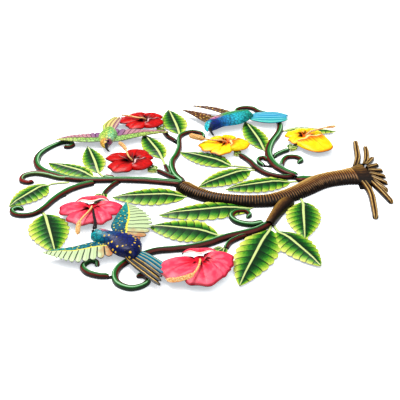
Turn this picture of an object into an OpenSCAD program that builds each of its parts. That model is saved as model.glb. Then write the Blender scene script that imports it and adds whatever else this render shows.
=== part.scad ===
// Tree of life wall relief: cut and hammered sheet steel, painted on the front.
// It lies flat with its back on z = 0, roots towards -Y and crown towards +Y.
// Every piece is sheet metal. Each one laps on a flat tab under the rims of the piece that carries it.

/* [Overall] */
// Diameter of the round outline
disc_d = 610; // [500:1:760]
// Thickness of the sheet
sheet_t = 1.2; // [0.9:0.1:1.6]

/* [Relief heights] */
// Height of the stem channels
stem_h = 7; // [5.5:0.5:9]
// Height of the trunk and the thick left branch
trunk_h = 14; // [12:0.5:18]
// Height of the root channels
root_h = 7; // [5:0.5:8]
// Height of a leaf edge over the wall
leaf_edge_h = 2.5; // [2:0.5:4]
// Rise of a leaf from its edge to its midrib
leaf_rise = 5; // [3:0.5:7]
// Rise of a flower from its rim to its crest
petal_rise = 7; // [5:0.5:9]
// Free height between the stems and the petals above them
petal_gap = 1.5; // [1:0.5:3]
// Rise of a bird's body
bird_rise = 13; // [9:0.5:16]
// Height of the studs that carry the birds
stud_h = 3; // [2:0.5:5]

/* [Widths] */
// Width of the trunk at the foot of the crown
trunk_w = 28; // [24:1:32]
// Width of a main stem
stem_w = 13; // [11:0.5:15]
// Width of a flower stalk
stalk_w = 8; // [7:0.5:9]
// Width of a leaf tab
tab_w = 6; // [5:0.5:8]
// Width of the pistils
pistil_w = 5; // [4:0.5:6]

/* [Hanging] */
// Diameter of the nail hole in each hanger strap
nail_d = 5; // [3:0.5:5.5]
// Width of a hanger strap
strap_w = 12; // [10:0.5:14]

/* [Hidden] */
$fn = 32;

// All places are for a 610 mm disc and are scaled with the disc
k = disc_d / 610;
stem_top = sheet_t + stem_h;
petal_z = stem_top + petal_gap;
bird_z = stem_top + stud_h;
stud_d = 7;
root_w = 11;
// From the middle of the outline to the point that the places below are measured from
MIDDLE = [8.4, 3.7];

// Leaves: foot on the stem, start of the blade, tip, half width
LEAVES = [
    [[-84, 246], [-92, 238], [-203, 206], 31],
    [[11, 213], [3, 246], [-70, 296], 25],
    [[-44, 4], [-48, 22], [-50, 137], 28],
    [[-166, -50], [-165, -26], [-140, 76], 31],
    [[-74, -92], [-90, -78], [-109, 62], 27],
    [[-132, -107], [-155, -102], [-297, -50], 31],
    [[-132, -107], [-160, -114], [-257, -163], 26],
    [[-52, -152], [-76, -160], [-186, -150], 27],
    [[20, 153], [28, 175], [76, 256], 20],
    [[20, 153], [42, 167], [136, 195], 20],
    [[56, 56], [88, 62], [180, 98], 20],
    [[166, 32], [186, 33], [290, 55], 24],
    [[176, -149], [186, -160], [168, -250], 15],
    [[86, -123], [110, -116], [224, -89], 21],
    [[41, -96], [53, -56], [103, 31], 24],
    [[30, -103], [34, -86], [-23, 0], 26],
    [[-8, -166], [-10, -148], [-35, -42], 24]
];

// Flowers: eye, angle and length of the tongue, lobes as [direction, reach, half angle]
PINK_1 = [[-92, 164], -13, 50, [[96, 52, 30], [160, 54, 34], [204, 54, 24], [258, 48, 30], [5, 36, 46]]];
PINK_2 = [[-245, 1], -43, 48, [[124, 64, 34], [186, 62, 30], [222, 52, 24], [264, 48, 32], [0, 30, 46]]];
RED_1 = [[60, 111], 243, 44, [[60, 50, 28], [138, 48, 36], [-12, 48, 30], [-62, 38, 24], [230, 38, 40]]];
RED_2 = [[225, 95], 231, 38, [[82, 52, 28], [138, 45, 32], [36, 46, 28], [-38, 38, 36], [226, 36, 42]]];
YELLOW_1 = [[120, -50], 215, 35,
    [[110, 51, 32], [160, 48, 28], [48, 36, 28], [-16, 33, 30], [246, 42, 42]]];
YELLOW_2 = [[137, -191], 137, 44,
    [[70, 38, 32], [130, 37, 32], [15, 34, 30], [-48, 36, 32], [205, 66, 38]]];

// --- Curves -------------------------------------------------------------

function unit(v) = v / norm(v);
function left_of(d) = [-d[1], d[0]];
function turn(a) = [cos(a), sin(a)];

// Point between p1 and p2 on a smooth curve through the four points
function between(p0, p1, p2, p3, t) =
    0.5 * (2 * p1 + (p2 - p0) * t + (2 * p0 - 5 * p1 + 4 * p2 - p3) * t * t
        + (3 * p1 - p0 - 3 * p2 + p3) * t * t * t);

// Smooth curve through a list of points or numbers, with several steps between each two
function smooth(list, steps = 2) = let (last = len(list) - 1) [
    for (i = [0 : last - 1]) for (s = [0 : steps - 1])
        between(list[max(i - 1, 0)], list[i], list[i + 1], list[min(i + 2, last)], s / steps),
    list[last]
];

function heading(path, i) = unit(path[min(i + 1, len(path) - 1)] - path[max(i - 1, 0)]);

// --- Sheet forming ------------------------------------------------------

// Triangles that close a ring of points, worked in from its two ends
function cap(count) = [
    for (j = [0 : floor((count - 1) / 2) - 1]) each [
        [j, j + 1, count - 1 - j],
        if (count - 2 - j > j + 1) [j + 1, count - 2 - j, count - 1 - j]
    ]
];

function turned(faces) = [for (f = faces) [f[2], f[1], f[0]]];

// Closed solid through a row of equal rings
module skin(rings) {
    count = len(rings[0]);
    last = len(rings) - 1;
    polyhedron(
        points = [for (ring = rings) for (p = ring) p],
        faces = concat(
            turned(cap(count)),
            [for (i = [0 : last - 1]) for (j = [0 : count - 1])
                let (a = i * count + j, b = i * count + (j + 1) % count) [a, b, b + count]],
            [for (i = [0 : last - 1]) for (j = [0 : count - 1])
                let (a = i * count + j, b = i * count + (j + 1) % count) [a, b + count, a + count]],
            [for (f = cap(count)) [for (j = f) last * count + j]]
        ),
        convexity = 6
    );
}

// Section of a channel: across its width u, over its rims z
function channel_section(w, h) = [
    [w / 2, 0], [0.39 * w, 0.65 * h], [0.18 * w, h],
    [-0.18 * w, h], [-0.39 * w, 0.65 * h], [-w / 2, 0],
    [sheet_t - w / 2, 0], [-0.2 * w, h - 1.2 * sheet_t], [0.2 * w, h - 1.2 * sheet_t],
        [w / 2 - sheet_t, 0]
];

// Half-round channel of sheet along a curve, open towards the wall
module channel(points, widths, h = stem_h) {
    path = smooth(k * points);
    wide = smooth(widths);
    last = len(path) - 1;
    skin([for (i = [0 : last])
        let (
            p = path[i],
            side = left_of(heading(path, i)),
            w = wide[round(i * (len(wide) - 1) / last)]
        )
        [for (c = channel_section(w, h)) [p[0] - side[0] * c[0], p[1] - side[1] * c[0], sheet_t + c[1]]]
    ]);
}

// Flat welded tab under the rims of two pieces
module lap(from, to, w = tab_w) {
    run = k * (to - from);
    translate([k * from[0], k * from[1], 0])
        rotate(atan2(run[1], run[0]))
        translate([0, -w / 2, 0])
        cube([norm(run), w, sheet_t]);
}

// Sheet panel between two edges, domed by rise over its lowest height
module panel(edge_a, edge_b, low, rise, flat_back = false) {
    last = len(edge_a) - 1;
    columns = [0, 0.25, 0.5, 0.75, 1];
    function top(i, u) = low[i] + rise[i] * (1 - abs(2 * u - 1));
    function under(i, u) = flat_back ? low[i] - sheet_t : top(i, u) - sheet_t;
    function at(i, u) = edge_a[i] * (1 - u) + edge_b[i] * u;
    skin([for (i = [0 : last]) concat(
        [for (u = columns) [at(i, u)[0], at(i, u)[1], top(i, u)]],
        [for (j = [4 : -1 : 0]) let (u = columns[j]) [at(i, u)[0], at(i, u)[1], under(i, u)]]
    )]);
}

// --- Trunk, branch and roots ---------------------------------------------

module trunk() {
    color([0.36, 0.24, 0.09]) channel(
        [[4, -274], [-4, -240], [-10, -215], [-20, -192], [-40, -168], [-61, -140], [-74, -112],
            [-76, -85], [-72, -55], [-62, -22], [-44, 5], [-18, 28]],
        [70, trunk_w + 16, trunk_w + 10, trunk_w + 8, trunk_w + 5, trunk_w + 2, trunk_w,
            trunk_w - 2, trunk_w - 4, trunk_w - 4, trunk_w - 2, trunk_w],
        trunk_h
    );
}

module left_branch() {
    color([0.46, 0.33, 0.12]) {
        channel([[-76, -138], [-104, -121], [-146, -102]], [24, 19, 15], trunk_h - 3);
        lap([-92, -128], [-60, -142]);
    }
}

module root(points, w = root_w) {
    channel(points, [w, w, 0.95 * w, 0.8 * w], root_h);
}

module left_roots() {
    color([0.3, 0.19, 0.07]) {
        root([[-14, -263], [-54, -269], [-92, -267], [-134, -262]]);
        root([[-14, -277], [-38, -283], [-64, -290], [-90, -296]], root_w - 1);
        lap([-40, -266], [0, -266], 20);
    }
}

module middle_roots() {
    color([0.26, 0.16, 0.06]) {
        tips = [[-53, -297], [-29, -302], [-6, -304], [16, -304], [38, -301], [64, -297]];
        for (i = [0 : len(tips) - 1]) {
            from = [10 + (i - 2.5) * 10, -279];
            root([from, from * 0.7 + tips[i] * 0.3, from * 0.35 + tips[i] * 0.65, tips[i]],
                root_w - 2.5);
        }
        lap([10, -285], [10, -262], 44);
    }
}

module right_roots() {
    color([0.34, 0.23, 0.09]) {
        root([[32, -261], [60, -270], [92, -274], [128, -278]]);
        root([[36, -277], [56, -284], [82, -289], [106, -291]], root_w - 1);
        lap([24, -266], [48, -270], 18);
    }
}

module branch_collar() {
    color([0.05, 0.22, 0.1]) {
        channel([[-4, -186], [-6, -172], [0, -160]], [10, 18, 22], stem_h);
        lap([-18, -182], [0, -182]);
    }
}

// --- Stems and scrolls -----------------------------------------------------

module stem(points, widths = [stem_w, stem_w, stem_w - 2, stem_w - 4], tint = [0.22, 0.5, 0.24]) {
    color(tint) channel(points, widths, stem_h);
}

module centre_stem() {
    stem(
        [[-10, 27], [-2, 55], [5, 85], [10, 127], [11, 172], [18, 210], [33, 236], [50, 260],
            [71, 274], [97, 279], [122, 273], [142, 260], [156, 245], [158, 231], [148, 222],
                [138, 228], [141, 238]],
        [stem_w + 3, stem_w + 3, stem_w + 1, stem_w, stem_w, stem_w - 1, stem_w - 2, 8, 7]
    );
    color([0.22, 0.5, 0.24]) lap([-12, 38], [-30, 18]);
}

module top_left_scroll() {
    stem(
        [[2, 172], [-6, 190], [-18, 207], [-34, 220], [-53, 231], [-76, 241], [-93, 254], [-97, 271],
            [-91, 285], [-80, 290], [-73, 283], [-77, 272]],
        [stem_w, stem_w, stem_w - 1, stem_w - 3, 8, 8, 7]
    );
    color([0.22, 0.5, 0.24]) lap([1, 176], [11, 168]);
}

module top_scroll() {
    stem(
        [[21, 210], [22, 228], [34, 250], [41, 272], [33, 290], [17, 292], [9, 280], [14, 271]],
        [9, 11, 12, 11, 9, 8, 7], [0.4, 0.14, 0.08]
    );
    color([0.4, 0.14, 0.08]) lap([22, 216], [16, 204]);
}

module right_upper_stem() {
    stem(
        [[-2, 26], [20, 38], [46, 44], [72, 44], [94, 38], [121, 33], [147, 33], [168, 32], [183, 20],
            [186, 6], [178, -7], [164, -10], [155, -4]],
        [stem_w - 1, stem_w - 1, stem_w - 2, stem_w - 3, 9, 8, 8]
    );
    color([0.22, 0.5, 0.24]) lap([4, 29], [-24, 18]);
}

module left_stem() {
    stem(
        [[-142, -102], [-158, -83], [-167, -60], [-176, -36], [-190, -12], [-200, 14], [-203, 40],
            [-207, 66], [-222, 92]],
        [stem_w - 1, stem_w + 1, stem_w, stem_w, stem_w - 1, stem_w - 2]
    );
    color([0.22, 0.5, 0.24]) lap([-150, -92], [-134, -107]);
}

module left_scrolls() {
    stem(
        [[-226, 98], [-243, 112], [-263, 117], [-283, 111], [-294, 95], [-290, 79],
            [-278, 71], [-267, 77], [-266, 88]],
        [stem_w - 3, stem_w - 3, stem_w - 3, 9, 8, 7, 7]
    );
    stem(
        [[-265, 125], [-264, 138], [-255, 155], [-240, 163], [-228, 155], [-230, 145], [-239, 143]],
        [8, stem_w - 4, stem_w - 4, 8, 7, 7], [0.38, 0.14, 0.1]
    );
    color([0.22, 0.5, 0.24]) {
        lap([-232, 104], [-218, 86]);
        lap([-265, 128], [-262, 114]);
    }
}

module small_left_scroll() {
    stem(
        [[-137, -93], [-142, -75], [-134, -56], [-118, -48], [-104, -56], [-103, -70],
            [-114, -76], [-121, -70]],
        [stem_w - 2, stem_w - 3, stem_w - 4, 8, 7, 7]
    );
    color([0.22, 0.5, 0.24]) lap([-138, -88], [-130, -110]);
}

module right_lower_stem() {
    stem(
        [[8, -160], [22, -144], [46, -129], [75, -122], [103, -123], [134, -131],
            [160, -142], [189, -151],
            [220, -152], [248, -142], [268, -119], [285, -108], [289, -92], [283, -79],
                [272, -75], [265, -83], [269, -92]],
        [stem_w + 1, stem_w + 2, stem_w + 1, stem_w, stem_w - 1, stem_w - 3, 9, 8, 7]
    );
    color([0.22, 0.5, 0.24]) lap([12, -157], [-6, -168]);
}

module right_middle_stem() {
    stem(
        [[4, -152], [2, -138], [15, -114], [37, -98], [64, -87], [88, -72]],
        [stem_w - 3, stem_w - 3, stem_w - 2, stem_w - 3, 9], [0.36, 0.2, 0.1]
    );
    color([0.36, 0.2, 0.1]) {
        lap([3, -145], [-1, -166]);
        cup([88, -72], 35, 10);
    }
}

module right_curls() {
    stem(
        [[46, -140], [62, -144], [74, -153], [73, -168], [61, -175], [53, -167]],
        [9, 9, 8, 8, 8]
    );
    stem([[46, -110], [58, -103], [70, -103], [74, -112], [66, -117]], [7, 7, 7, 7]);
    color([0.22, 0.5, 0.24]) {
        lap([48, -139], [44, -129]);
        lap([50, -110], [44, -128]);
    }
}

// --- Flower stalks -----------------------------------------------------------

// Flaring calyx at the end of a stalk
module cup(at, angle, length) {
    reach = length / k;
    channel([at, at + reach * turn(angle) / 2, at + reach * turn(angle)], [stalk_w, 15, 20], stem_h);
}

module stalk(points, cup_angle, cup_l) {
    color([0.3, 0.26, 0.1]) channel(points, [stalk_w, stalk_w, stalk_w], stem_h);
    color([0.12, 0.4, 0.14]) cup(points[len(points) - 1], cup_angle, cup_l);
}

module pink_stalk_1() {
    stalk([[1, 132], [-8, 139], [-24, 147], [-38, 152]], 165, 18);
    lap([-1, 134], [10, 128]);
}

module pink_stalk_2() {
    stalk([[-173, -66], [-178, -56], [-190, -42], [-206, -35]], 137, 18);
    lap([-174, -64], [-162, -72]);
}

module red_stalk_1() {
    stalk([[8, 38], [18, 48], [28, 58], [38, 68]], 63, 16);
    lap([12, 42], [2, 28]);
    color([0.3, 0.26, 0.1]) channel([[24, 48], [38, 51], [58, 56]], [7, 7, 6], stem_h);
    lap([30, 50], [16, 46]);
}

module red_stalk_2() {
    stalk([[152, 40], [168, 52], [184, 59], [198, 62]], 51, 12);
    lap([155, 43], [142, 33]);
}

module yellow_stalk_2() {
    stalk([[79, -130], [88, -138], [96, -148], [102, -158]], 317, 16);
    lap([82, -133], [72, -122]);
}

module top_right_twig() {
    color([0.5, 0.26, 0.1]) channel([[17, 140], [19, 149], [24, 158]], [10, 11, 11], stem_h);
    color([0.5, 0.26, 0.1]) lap([18, 145], [10, 132]);
}

// --- Leaves ------------------------------------------------------------------

// Half width along a leaf, as a share of the widest place
function leaf_outline(s) = pow(sin(180 * pow(s, 0.8)), 0.8);

module leaf(place) {
    foot = k * place[0];
    base = k * place[1];
    tip = k * place[2];
    half_w = k * place[3];
    run = tip - base;
    side = left_of(unit(run));
    tab_side = left_of(unit(base - foot)) * tab_w / 2;
    shares = [0.06, 0.16, 0.28, 0.42, 0.56, 0.7, 0.84, 0.94, 1];
    reach = [for (s = shares) max(half_w * leaf_outline(s), 0.8)];
    low = [for (s = shares) sheet_t + leaf_edge_h * min(1, s / 0.16)];
    rise = [for (s = shares) leaf_rise * min(1, s / 0.28, (1.12 - s) / 0.3)];
    color([0.3, 0.6, 0.16]) panel(
        concat(
            [foot + tab_side, base + tab_side],
            [for (i = [0 : len(shares) - 1]) base + run * shares[i] + side * reach[i]]
        ),
        concat(
            [foot - tab_side, base - tab_side],
            [for (i = [0 : len(shares) - 1]) base + run * shares[i] - side * reach[i]]
        ),
        concat([sheet_t, sheet_t], low),
        concat([0, 0], rise)
    );
}

// --- Flowers -----------------------------------------------------------------

// Reach of the flower's outline in one direction
function lobe_reach(lobes, a) = max([for (lobe = lobes)
    let (off = abs((a - lobe[0] + 540) % 360 - 180) / lobe[2])
    off < 1.6 ? max(lobe[1] * sqrt(1 - off * off / 2.56), 20) : 20
]);

// Petals pressed from one dish of sheet, with a tongue that laps under the stalk's cup
module flower(place, tint) {
    eye = k * place[0];
    tongue_a = place[1];
    tongue_r = k * place[2];
    step = 8;
    disc_r = 9;
    shares = [0, 0.42, 0.75, 1];
    heights = [0.35, 1, 0.75, 0];
    tongue_d = [disc_r, 14, 19, max(tongue_r, 24)];
    crest_z = petal_z + sheet_t;
    tongue_z = [crest_z + 0.35 * petal_rise, crest_z + petal_rise, crest_z, sheet_t];
    count = 360 / step;
    // Point n of ring r; the tongue is the three spokes round n = 0, side by side past the second ring
    function spot(n, r) = let (
        a = tongue_a + n * step,
        across = n == 0 ? 0 : n == 1 ? 1 : n == count - 1 ? -1 : 2,
        reach = k * lobe_reach(place[3], a),
        d = across < 2 ? tongue_d[r] : disc_r + (reach - disc_r) * shares[r],
        z = across < 2 ? tongue_z[r] : crest_z + petal_rise * heights[r],
        w = across < 2 && r > 1 ? across * tab_w / 2 : 0,
        dir = across < 2 && r > 1 ? tongue_a : a
    ) [eye[0] + d * cos(dir) - w * sin(dir), eye[1] + d * sin(dir) + w * cos(dir), z];
    upper = [for (r = [0 : 3]) for (n = [0 : count - 1]) spot(n, r)];
    lower = [for (p = upper) [p[0], p[1], p[2] - sheet_t]];
    half = len(upper);
    color(tint) polyhedron(
        points = concat(upper, lower),
        faces = concat(
            [[for (n = [count - 1 : -1 : 0]) n]],
            [[for (n = [0 : count - 1]) half + n]],
            [for (r = [0 : 2]) for (n = [0 : count - 1])
                let (a = r * count + n, b = r * count + (n + 1) % count) [a, b + count, a + count]],
            [for (r = [0 : 2]) for (n = [0 : count - 1])
                let (a = r * count + n, b = r * count + (n + 1) % count) [a, b, b + count]],
            [for (r = [0 : 2]) for (n = [0 : count - 1])
                let (a = half + r * count + n, b = half + r * count + (n + 1) % count)
                [a, a + count, b + count]],
            [for (r = [0 : 2]) for (n = [0 : count - 1])
                let (a = half + r * count + n, b = half + r * count + (n + 1) % count)
                [a, b + count, b]],
            [for (n = [0 : count - 1])
                let (a = 3 * count + n, b = 3 * count + (n + 1) % count) [a, half + b, half + a]],
            [for (n = [0 : count - 1])
                let (a = 3 * count + n, b = 3 * count + (n + 1) % count) [a, b, half + b]]
        ),
        convexity = 8
    );
}

module pink_flower_1() { flower(PINK_1, [0.95, 0.3, 0.4]); }
module pink_flower_2() { flower(PINK_2, [0.95, 0.3, 0.4]); }
module red_flower_1() { flower(RED_1, [0.8, 0.02, 0.02]); }
module red_flower_2() { flower(RED_2, [0.8, 0.02, 0.02]); }
module yellow_flower_1() { flower(YELLOW_1, [0.98, 0.85, 0.05]); }
module yellow_flower_2() { flower(YELLOW_2, [0.98, 0.85, 0.05]); }

// Height of the flat disc at a flower's eye, where its pistil is welded
function eye_z() = petal_z + sheet_t + 0.35 * petal_rise;

// Bowed rod from a flower's eye, ending in a club of anthers
module pistil(points, tint, club = 1.7) {
    path = smooth(k * points);
    last = len(path) - 1;
    rise = petal_rise + 4;
    color(tint) {
        translate([path[0][0], path[0][1], eye_z()]) cylinder(d = pistil_w, h = rise / 2);
        skin([for (i = [0 : last])
            let (
                f = i / last,
                side = left_of(heading(path, i)),
                r = pistil_w * (f < 0.55 ? 0.4 : 0.4 * club) * (i == last ? 0.5 : 1),
                z = eye_z() + rise / 2 + pistil_w * 0.4 + rise * 0.5 * f
            )
            [for (a = [0 : 60 : 300]) [
                path[i][0] - side[0] * r * cos(a), path[i][1] - side[1] * r * cos(a), z + r * sin(a)]]
        ]);
    }
}

module pink_pistils() {
    pistil([[-92, 164], [-108, 163], [-121, 166], [-134, 171], [-148, 175], [-166, 176], [-186, 174]],
        [1, 0.75, 0.5]);
    pistil([[-245, 1], [-259, 1], [-276, 4], [-292, 11], [-301, 20], [-306, 32], [-307, 45]],
        [1, 0.75, 0.5]);
}

module red_pistils() {
    pistil([[60, 111], [64, 117], [73, 120], [85, 123], [100, 129], [110, 136]], [1, 0.7, 0.3]);
    pistil([[225, 95], [219, 103], [220, 113], [226, 127], [228, 140]], [0.9, 0.1, 0.1], 1);
}

module yellow_pistils() {
    pistil([[120, -50], [114, -36], [116, -20], [121, -6], [126, 5], [131, 14]], [1, 0.4, 0.1], 3);
    pistil([[137, -191], [141, -204], [147, -218], [150, -232], [152, -246]], [1, 0.8, 0.4], 2);
}

// --- Birds --------------------------------------------------------------------

// Domed body along a line, flat on its back
module bird_shell(points, widths, low, rise) {
    path = smooth(k * points);
    wide = smooth(k * widths);
    last = len(path) - 1;
    skin([for (i = [0 : last])
        let (
            f = i / last,
            side = left_of(heading(path, i)),
            r = wide[round(f * (len(wide) - 1))] / 2,
            h = min(rise, 1.1 * r)
        )
        [for (a = [0 : 30 : 180]) [
            path[i][0] - side[0] * r * cos(a), path[i][1] - side[1] * r * cos(a), low + 1 + h * sin(a)]]
    ]);
}

// Feather panel between two edges, flat on its back
module feathers(edge_a, edge_b, low, rise = 4) {
    a = smooth(k * edge_a);
    b = smooth(k * edge_b);
    last = len(a) - 1;
    panel(a, b, [for (i = [0 : last]) low + sheet_t],
        [for (i = [0 : last]) rise * sin(180 * (i + 1) / (last + 2))], true);
}

wing_z = bird_z + sheet_t;
beak_h = 4;
BEAK_W = [7, 5, 4, 3];

module bird_1_body() {
    color([0.06, 0.12, 0.3]) {
        bird_shell([[-240, 92], [-224, 98], [-205, 107], [-192, 122], [-185, 136], [-178, 148], [-168, 154]],
            [14, 34, 46, 42, 28, 26, 12], wing_z, bird_rise);
        bird_shell([[-166, 152], [-150, 153], [-130, 157], [-110, 160]], BEAK_W, wing_z + petal_rise, beak_h);
        translate([k * -173, k * 151, wing_z + 1]) cylinder(d = 12, h = petal_rise + 2);
    }
}

module bird_1_wings() {
    color([0.12, 0.5, 0.5]) {
        feathers([[-222, 108], [-236, 142], [-243, 172], [-232, 197], [-218, 220]],
            [[-194, 124], [-190, 148], [-201, 177], [-208, 202], [-215, 221]], bird_z);
        feathers([[-182, 118], [-154, 130], [-128, 127], [-102, 120], [-80, 113]],
            [[-194, 92], [-176, 76], [-140, 70], [-108, 84], [-83, 110]], bird_z);
    }
}

module bird_1_tail() {
    color([0.3, 0.25, 0.1]) feathers(
        [[-214, 88], [-224, 74], [-238, 60], [-252, 48]],
        [[-238, 104], [-260, 90], [-284, 72], [-306, 54]], bird_z);
}

module bird_2_body() {
    color([0.65, 0.8, 0.35]) {
        bird_shell([[110, 158], [120, 161], [136, 161], [156, 160], [174, 159], [188, 160]],
            [8, 19, 26, 34, 28, 16], wing_z, bird_rise - 3);
        bird_shell([[113, 159], [102, 158], [92, 156], [82, 151]], BEAK_W, wing_z + petal_rise, beak_h);
        translate([k * 119, k * 160, wing_z + 1]) cylinder(d = 9, h = petal_rise + 2);
    }
}

module bird_2_wings() {
    color([0.72, 0.75, 0.4]) {
        feathers([[140, 172], [138, 190], [141, 214], [150, 252]],
            [[178, 176], [174, 204], [168, 230], [154, 253]], bird_z);
        feathers([[190, 152], [189, 132], [186, 110], [181, 84], [174, 53]],
            [[138, 156], [140, 136], [150, 114], [159, 92], [169, 53]], bird_z);
    }
}

module bird_2_tail() {
    color([0.75, 0.45, 0.5]) feathers(
        [[184, 172], [206, 174], [226, 168], [246, 156]],
        [[184, 150], [206, 145], [226, 141], [244, 138]], bird_z);
}

module bird_3_body() {
    color([0.08, 0.5, 0.6]) {
        bird_shell([[232, -104], [226, -88], [216, -66], [206, -46], [194, -32], [180, -24], [166, -20]],
            [20, 36, 48, 44, 34, 28, 12], wing_z, bird_rise);
        bird_shell([[169, -22], [158, -24], [148, -26], [138, -29]], BEAK_W, wing_z + 5, beak_h);
    }
}

module bird_3_wings() {
    color([0.3, 0.18, 0.1]) {
        feathers([[196, -28], [214, -10], [240, 8], [266, 28]],
            [[222, -46], [240, -28], [256, -4], [269, 27]], bird_z);
        feathers([[228, -58], [246, -46], [266, -22], [284, 9]],
            [[236, -84], [256, -64], [276, -34], [288, 7]], bird_z);
    }
}

module bird_3_tail() {
    color([0.2, 0.6, 0.8]) feathers(
        [[240, -98], [248, -122], [247, -148], [232, -170]],
        [[214, -98], [200, -122], [198, -146], [208, -168]], bird_z);
}

// Studs that stand on the stems, a leaf crest high, and carry the birds
STUDS = [[-220, 87], [-276, 71], [154, 242], [172, 55], [222, -152], [238, -146]];

module bird_studs() {
    color([0.15, 0.15, 0.15])
        for (place = STUDS)
            translate([k * place[0], k * place[1], stem_top]) cylinder(d = stud_d, h = stud_h);
}

// Straps across the back of two crown stems, each with a hole for a nail
STRAPS = [[97, 279, 0], [-34, 220, 40]];

module hanger_straps() {
    color([0.15, 0.15, 0.15])
        for (place = STRAPS)
            translate([k * place[0], k * place[1], 0])
                rotate(place[2])
                difference() {
                    translate([-strap_w / 2, -stem_w / 2, 0]) cube([strap_w, stem_w, sheet_t]);
                    translate([0, 0, -1]) cylinder(d = nail_d, h = sheet_t + 2);
                }
}

// The outline's own middle is put on the origin
translate([k * MIDDLE[0], k * MIDDLE[1], 0]) {
    trunk();
    left_branch();
    left_roots();
    middle_roots();
    right_roots();
    branch_collar();
    centre_stem();
    top_left_scroll();
    top_scroll();
    right_upper_stem();
    left_stem();
    left_scrolls();
    small_left_scroll();
    right_lower_stem();
    right_middle_stem();
    right_curls();
    pink_stalk_1();
    pink_stalk_2();
    red_stalk_1();
    red_stalk_2();
    yellow_stalk_2();
    top_right_twig();
    for (i = [0 : len(LEAVES) - 1])
        leaf(LEAVES[i]);
    pink_flower_1();
    pink_flower_2();
    red_flower_1();
    red_flower_2();
    yellow_flower_1();
    yellow_flower_2();
    pink_pistils();
    red_pistils();
    yellow_pistils();
    bird_1_body();
    bird_1_wings();
    bird_1_tail();
    bird_2_body();
    bird_2_wings();
    bird_2_tail();
    bird_3_body();
    bird_3_wings();
    bird_3_tail();
    bird_studs();
    hanger_straps();
}
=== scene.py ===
# %% [markdown]
# # A painted steel tree of life
# The object is a round wall relief, cut from the head of a steel drum, hammered from behind and painted.
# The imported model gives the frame: the place and size of every piece. Here each piece is built again as
# thin formed sheet, with the relief and the brushwork that its maker gave it.

# %% Load the frame
import math

import bpy
import numpy as np
from mathutils import Matrix, Vector


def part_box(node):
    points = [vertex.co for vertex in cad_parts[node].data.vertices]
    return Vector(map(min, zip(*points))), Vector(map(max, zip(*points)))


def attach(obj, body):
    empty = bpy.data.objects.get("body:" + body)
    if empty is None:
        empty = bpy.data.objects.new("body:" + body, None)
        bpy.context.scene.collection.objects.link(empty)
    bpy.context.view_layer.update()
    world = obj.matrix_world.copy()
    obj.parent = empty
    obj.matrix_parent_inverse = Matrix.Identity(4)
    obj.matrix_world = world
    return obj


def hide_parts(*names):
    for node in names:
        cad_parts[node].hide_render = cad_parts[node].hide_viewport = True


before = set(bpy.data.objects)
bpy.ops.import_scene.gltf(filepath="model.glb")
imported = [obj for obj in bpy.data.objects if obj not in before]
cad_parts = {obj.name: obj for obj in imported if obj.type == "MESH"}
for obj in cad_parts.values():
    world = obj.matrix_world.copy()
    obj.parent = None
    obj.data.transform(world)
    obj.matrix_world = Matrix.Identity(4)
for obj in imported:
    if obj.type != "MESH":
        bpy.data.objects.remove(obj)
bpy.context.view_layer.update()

MM = 0.001

# %% [markdown]
# ## Sizes
# One gauge of sheet serves every piece. The other heights say how far the hammer pushed each kind of
# piece out of the flat, measured up from the wall. All of them are in millimetres. `MIDDLE` goes from the
# middle of the outline to the point that all places below are measured from. Only the floor is in metres.

# %% Named sizes
SHEET = 1.2
STEM_H = 7.0
STEM_W = 13.0
STALK_W = 8.0
TRUNK_H = 14.0
ROOT_H = 7.0
ROOT_W = 11.0
LEAF_EDGE_H = 2.5
LEAF_RISE = 5.0
PETAL_RISE = 7.0
TAB_W = 6.0
STEM_TOP = SHEET + STEM_H
PETAL_Z = STEM_TOP + 1.5
BIRD_Z = STEM_TOP + 3.0
WING_Z = BIRD_Z + SHEET
MIDDLE = np.array([8.4, 3.7, 0.0])
FLOOR_REACH = 40.0

# %% [markdown]
# ## Camera, light and floor
# The relief lies on its back on a pale floor, seen from its left side and a little above, so its crown
# points left and its roots right. The lens is long, which keeps the round outline an even ellipse.
# Two broad soft lights do the modelling. The room is bright overhead and dim near the horizon, so the
# enamel keeps its dark tones at this low angle, and the floor glows a little to stay white.

# %% Camera
AIM = Vector((-0.0502, 0.0025, 0.0))
DISTANCE = 1.3
ELEVATION = math.radians(29.7)
ROLL = math.radians(1.65)

camera = bpy.data.objects.new("camera", bpy.data.cameras.new("camera"))
bpy.context.scene.collection.objects.link(camera)
camera.data.lens = 74.5
camera.data.sensor_width = 36.0
camera.data.clip_start = 0.01
camera.location = AIM + Vector((-math.cos(ELEVATION), 0.0, math.sin(ELEVATION))) * DISTANCE
look = (AIM - camera.location).to_track_quat("-Z", "Y").to_matrix()
camera.rotation_euler = (look @ Matrix.Rotation(-ROLL, 3, "Z")).to_euler()
bpy.context.scene.camera = camera

# %% Light and room
def area_light(name, place, size, power, tint):
    """A soft square light at place, turned towards the origin."""
    light = bpy.data.lights.new(name, "AREA")
    light.size = size
    light.energy = power
    light.color = tint
    lamp = bpy.data.objects.new(name, light)
    bpy.context.scene.collection.objects.link(lamp)
    lamp.location = place
    lamp.rotation_euler = (-Vector(place)).to_track_quat("-Z", "Y").to_euler()


area_light("key_light", (0.7, 0.7, 1.8), 1.0, 52, (1.0, 0.98, 0.95))
area_light("fill_light", (-1.2, -0.8, 1.4), 1.6, 12, (0.94, 0.97, 1.0))

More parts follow.
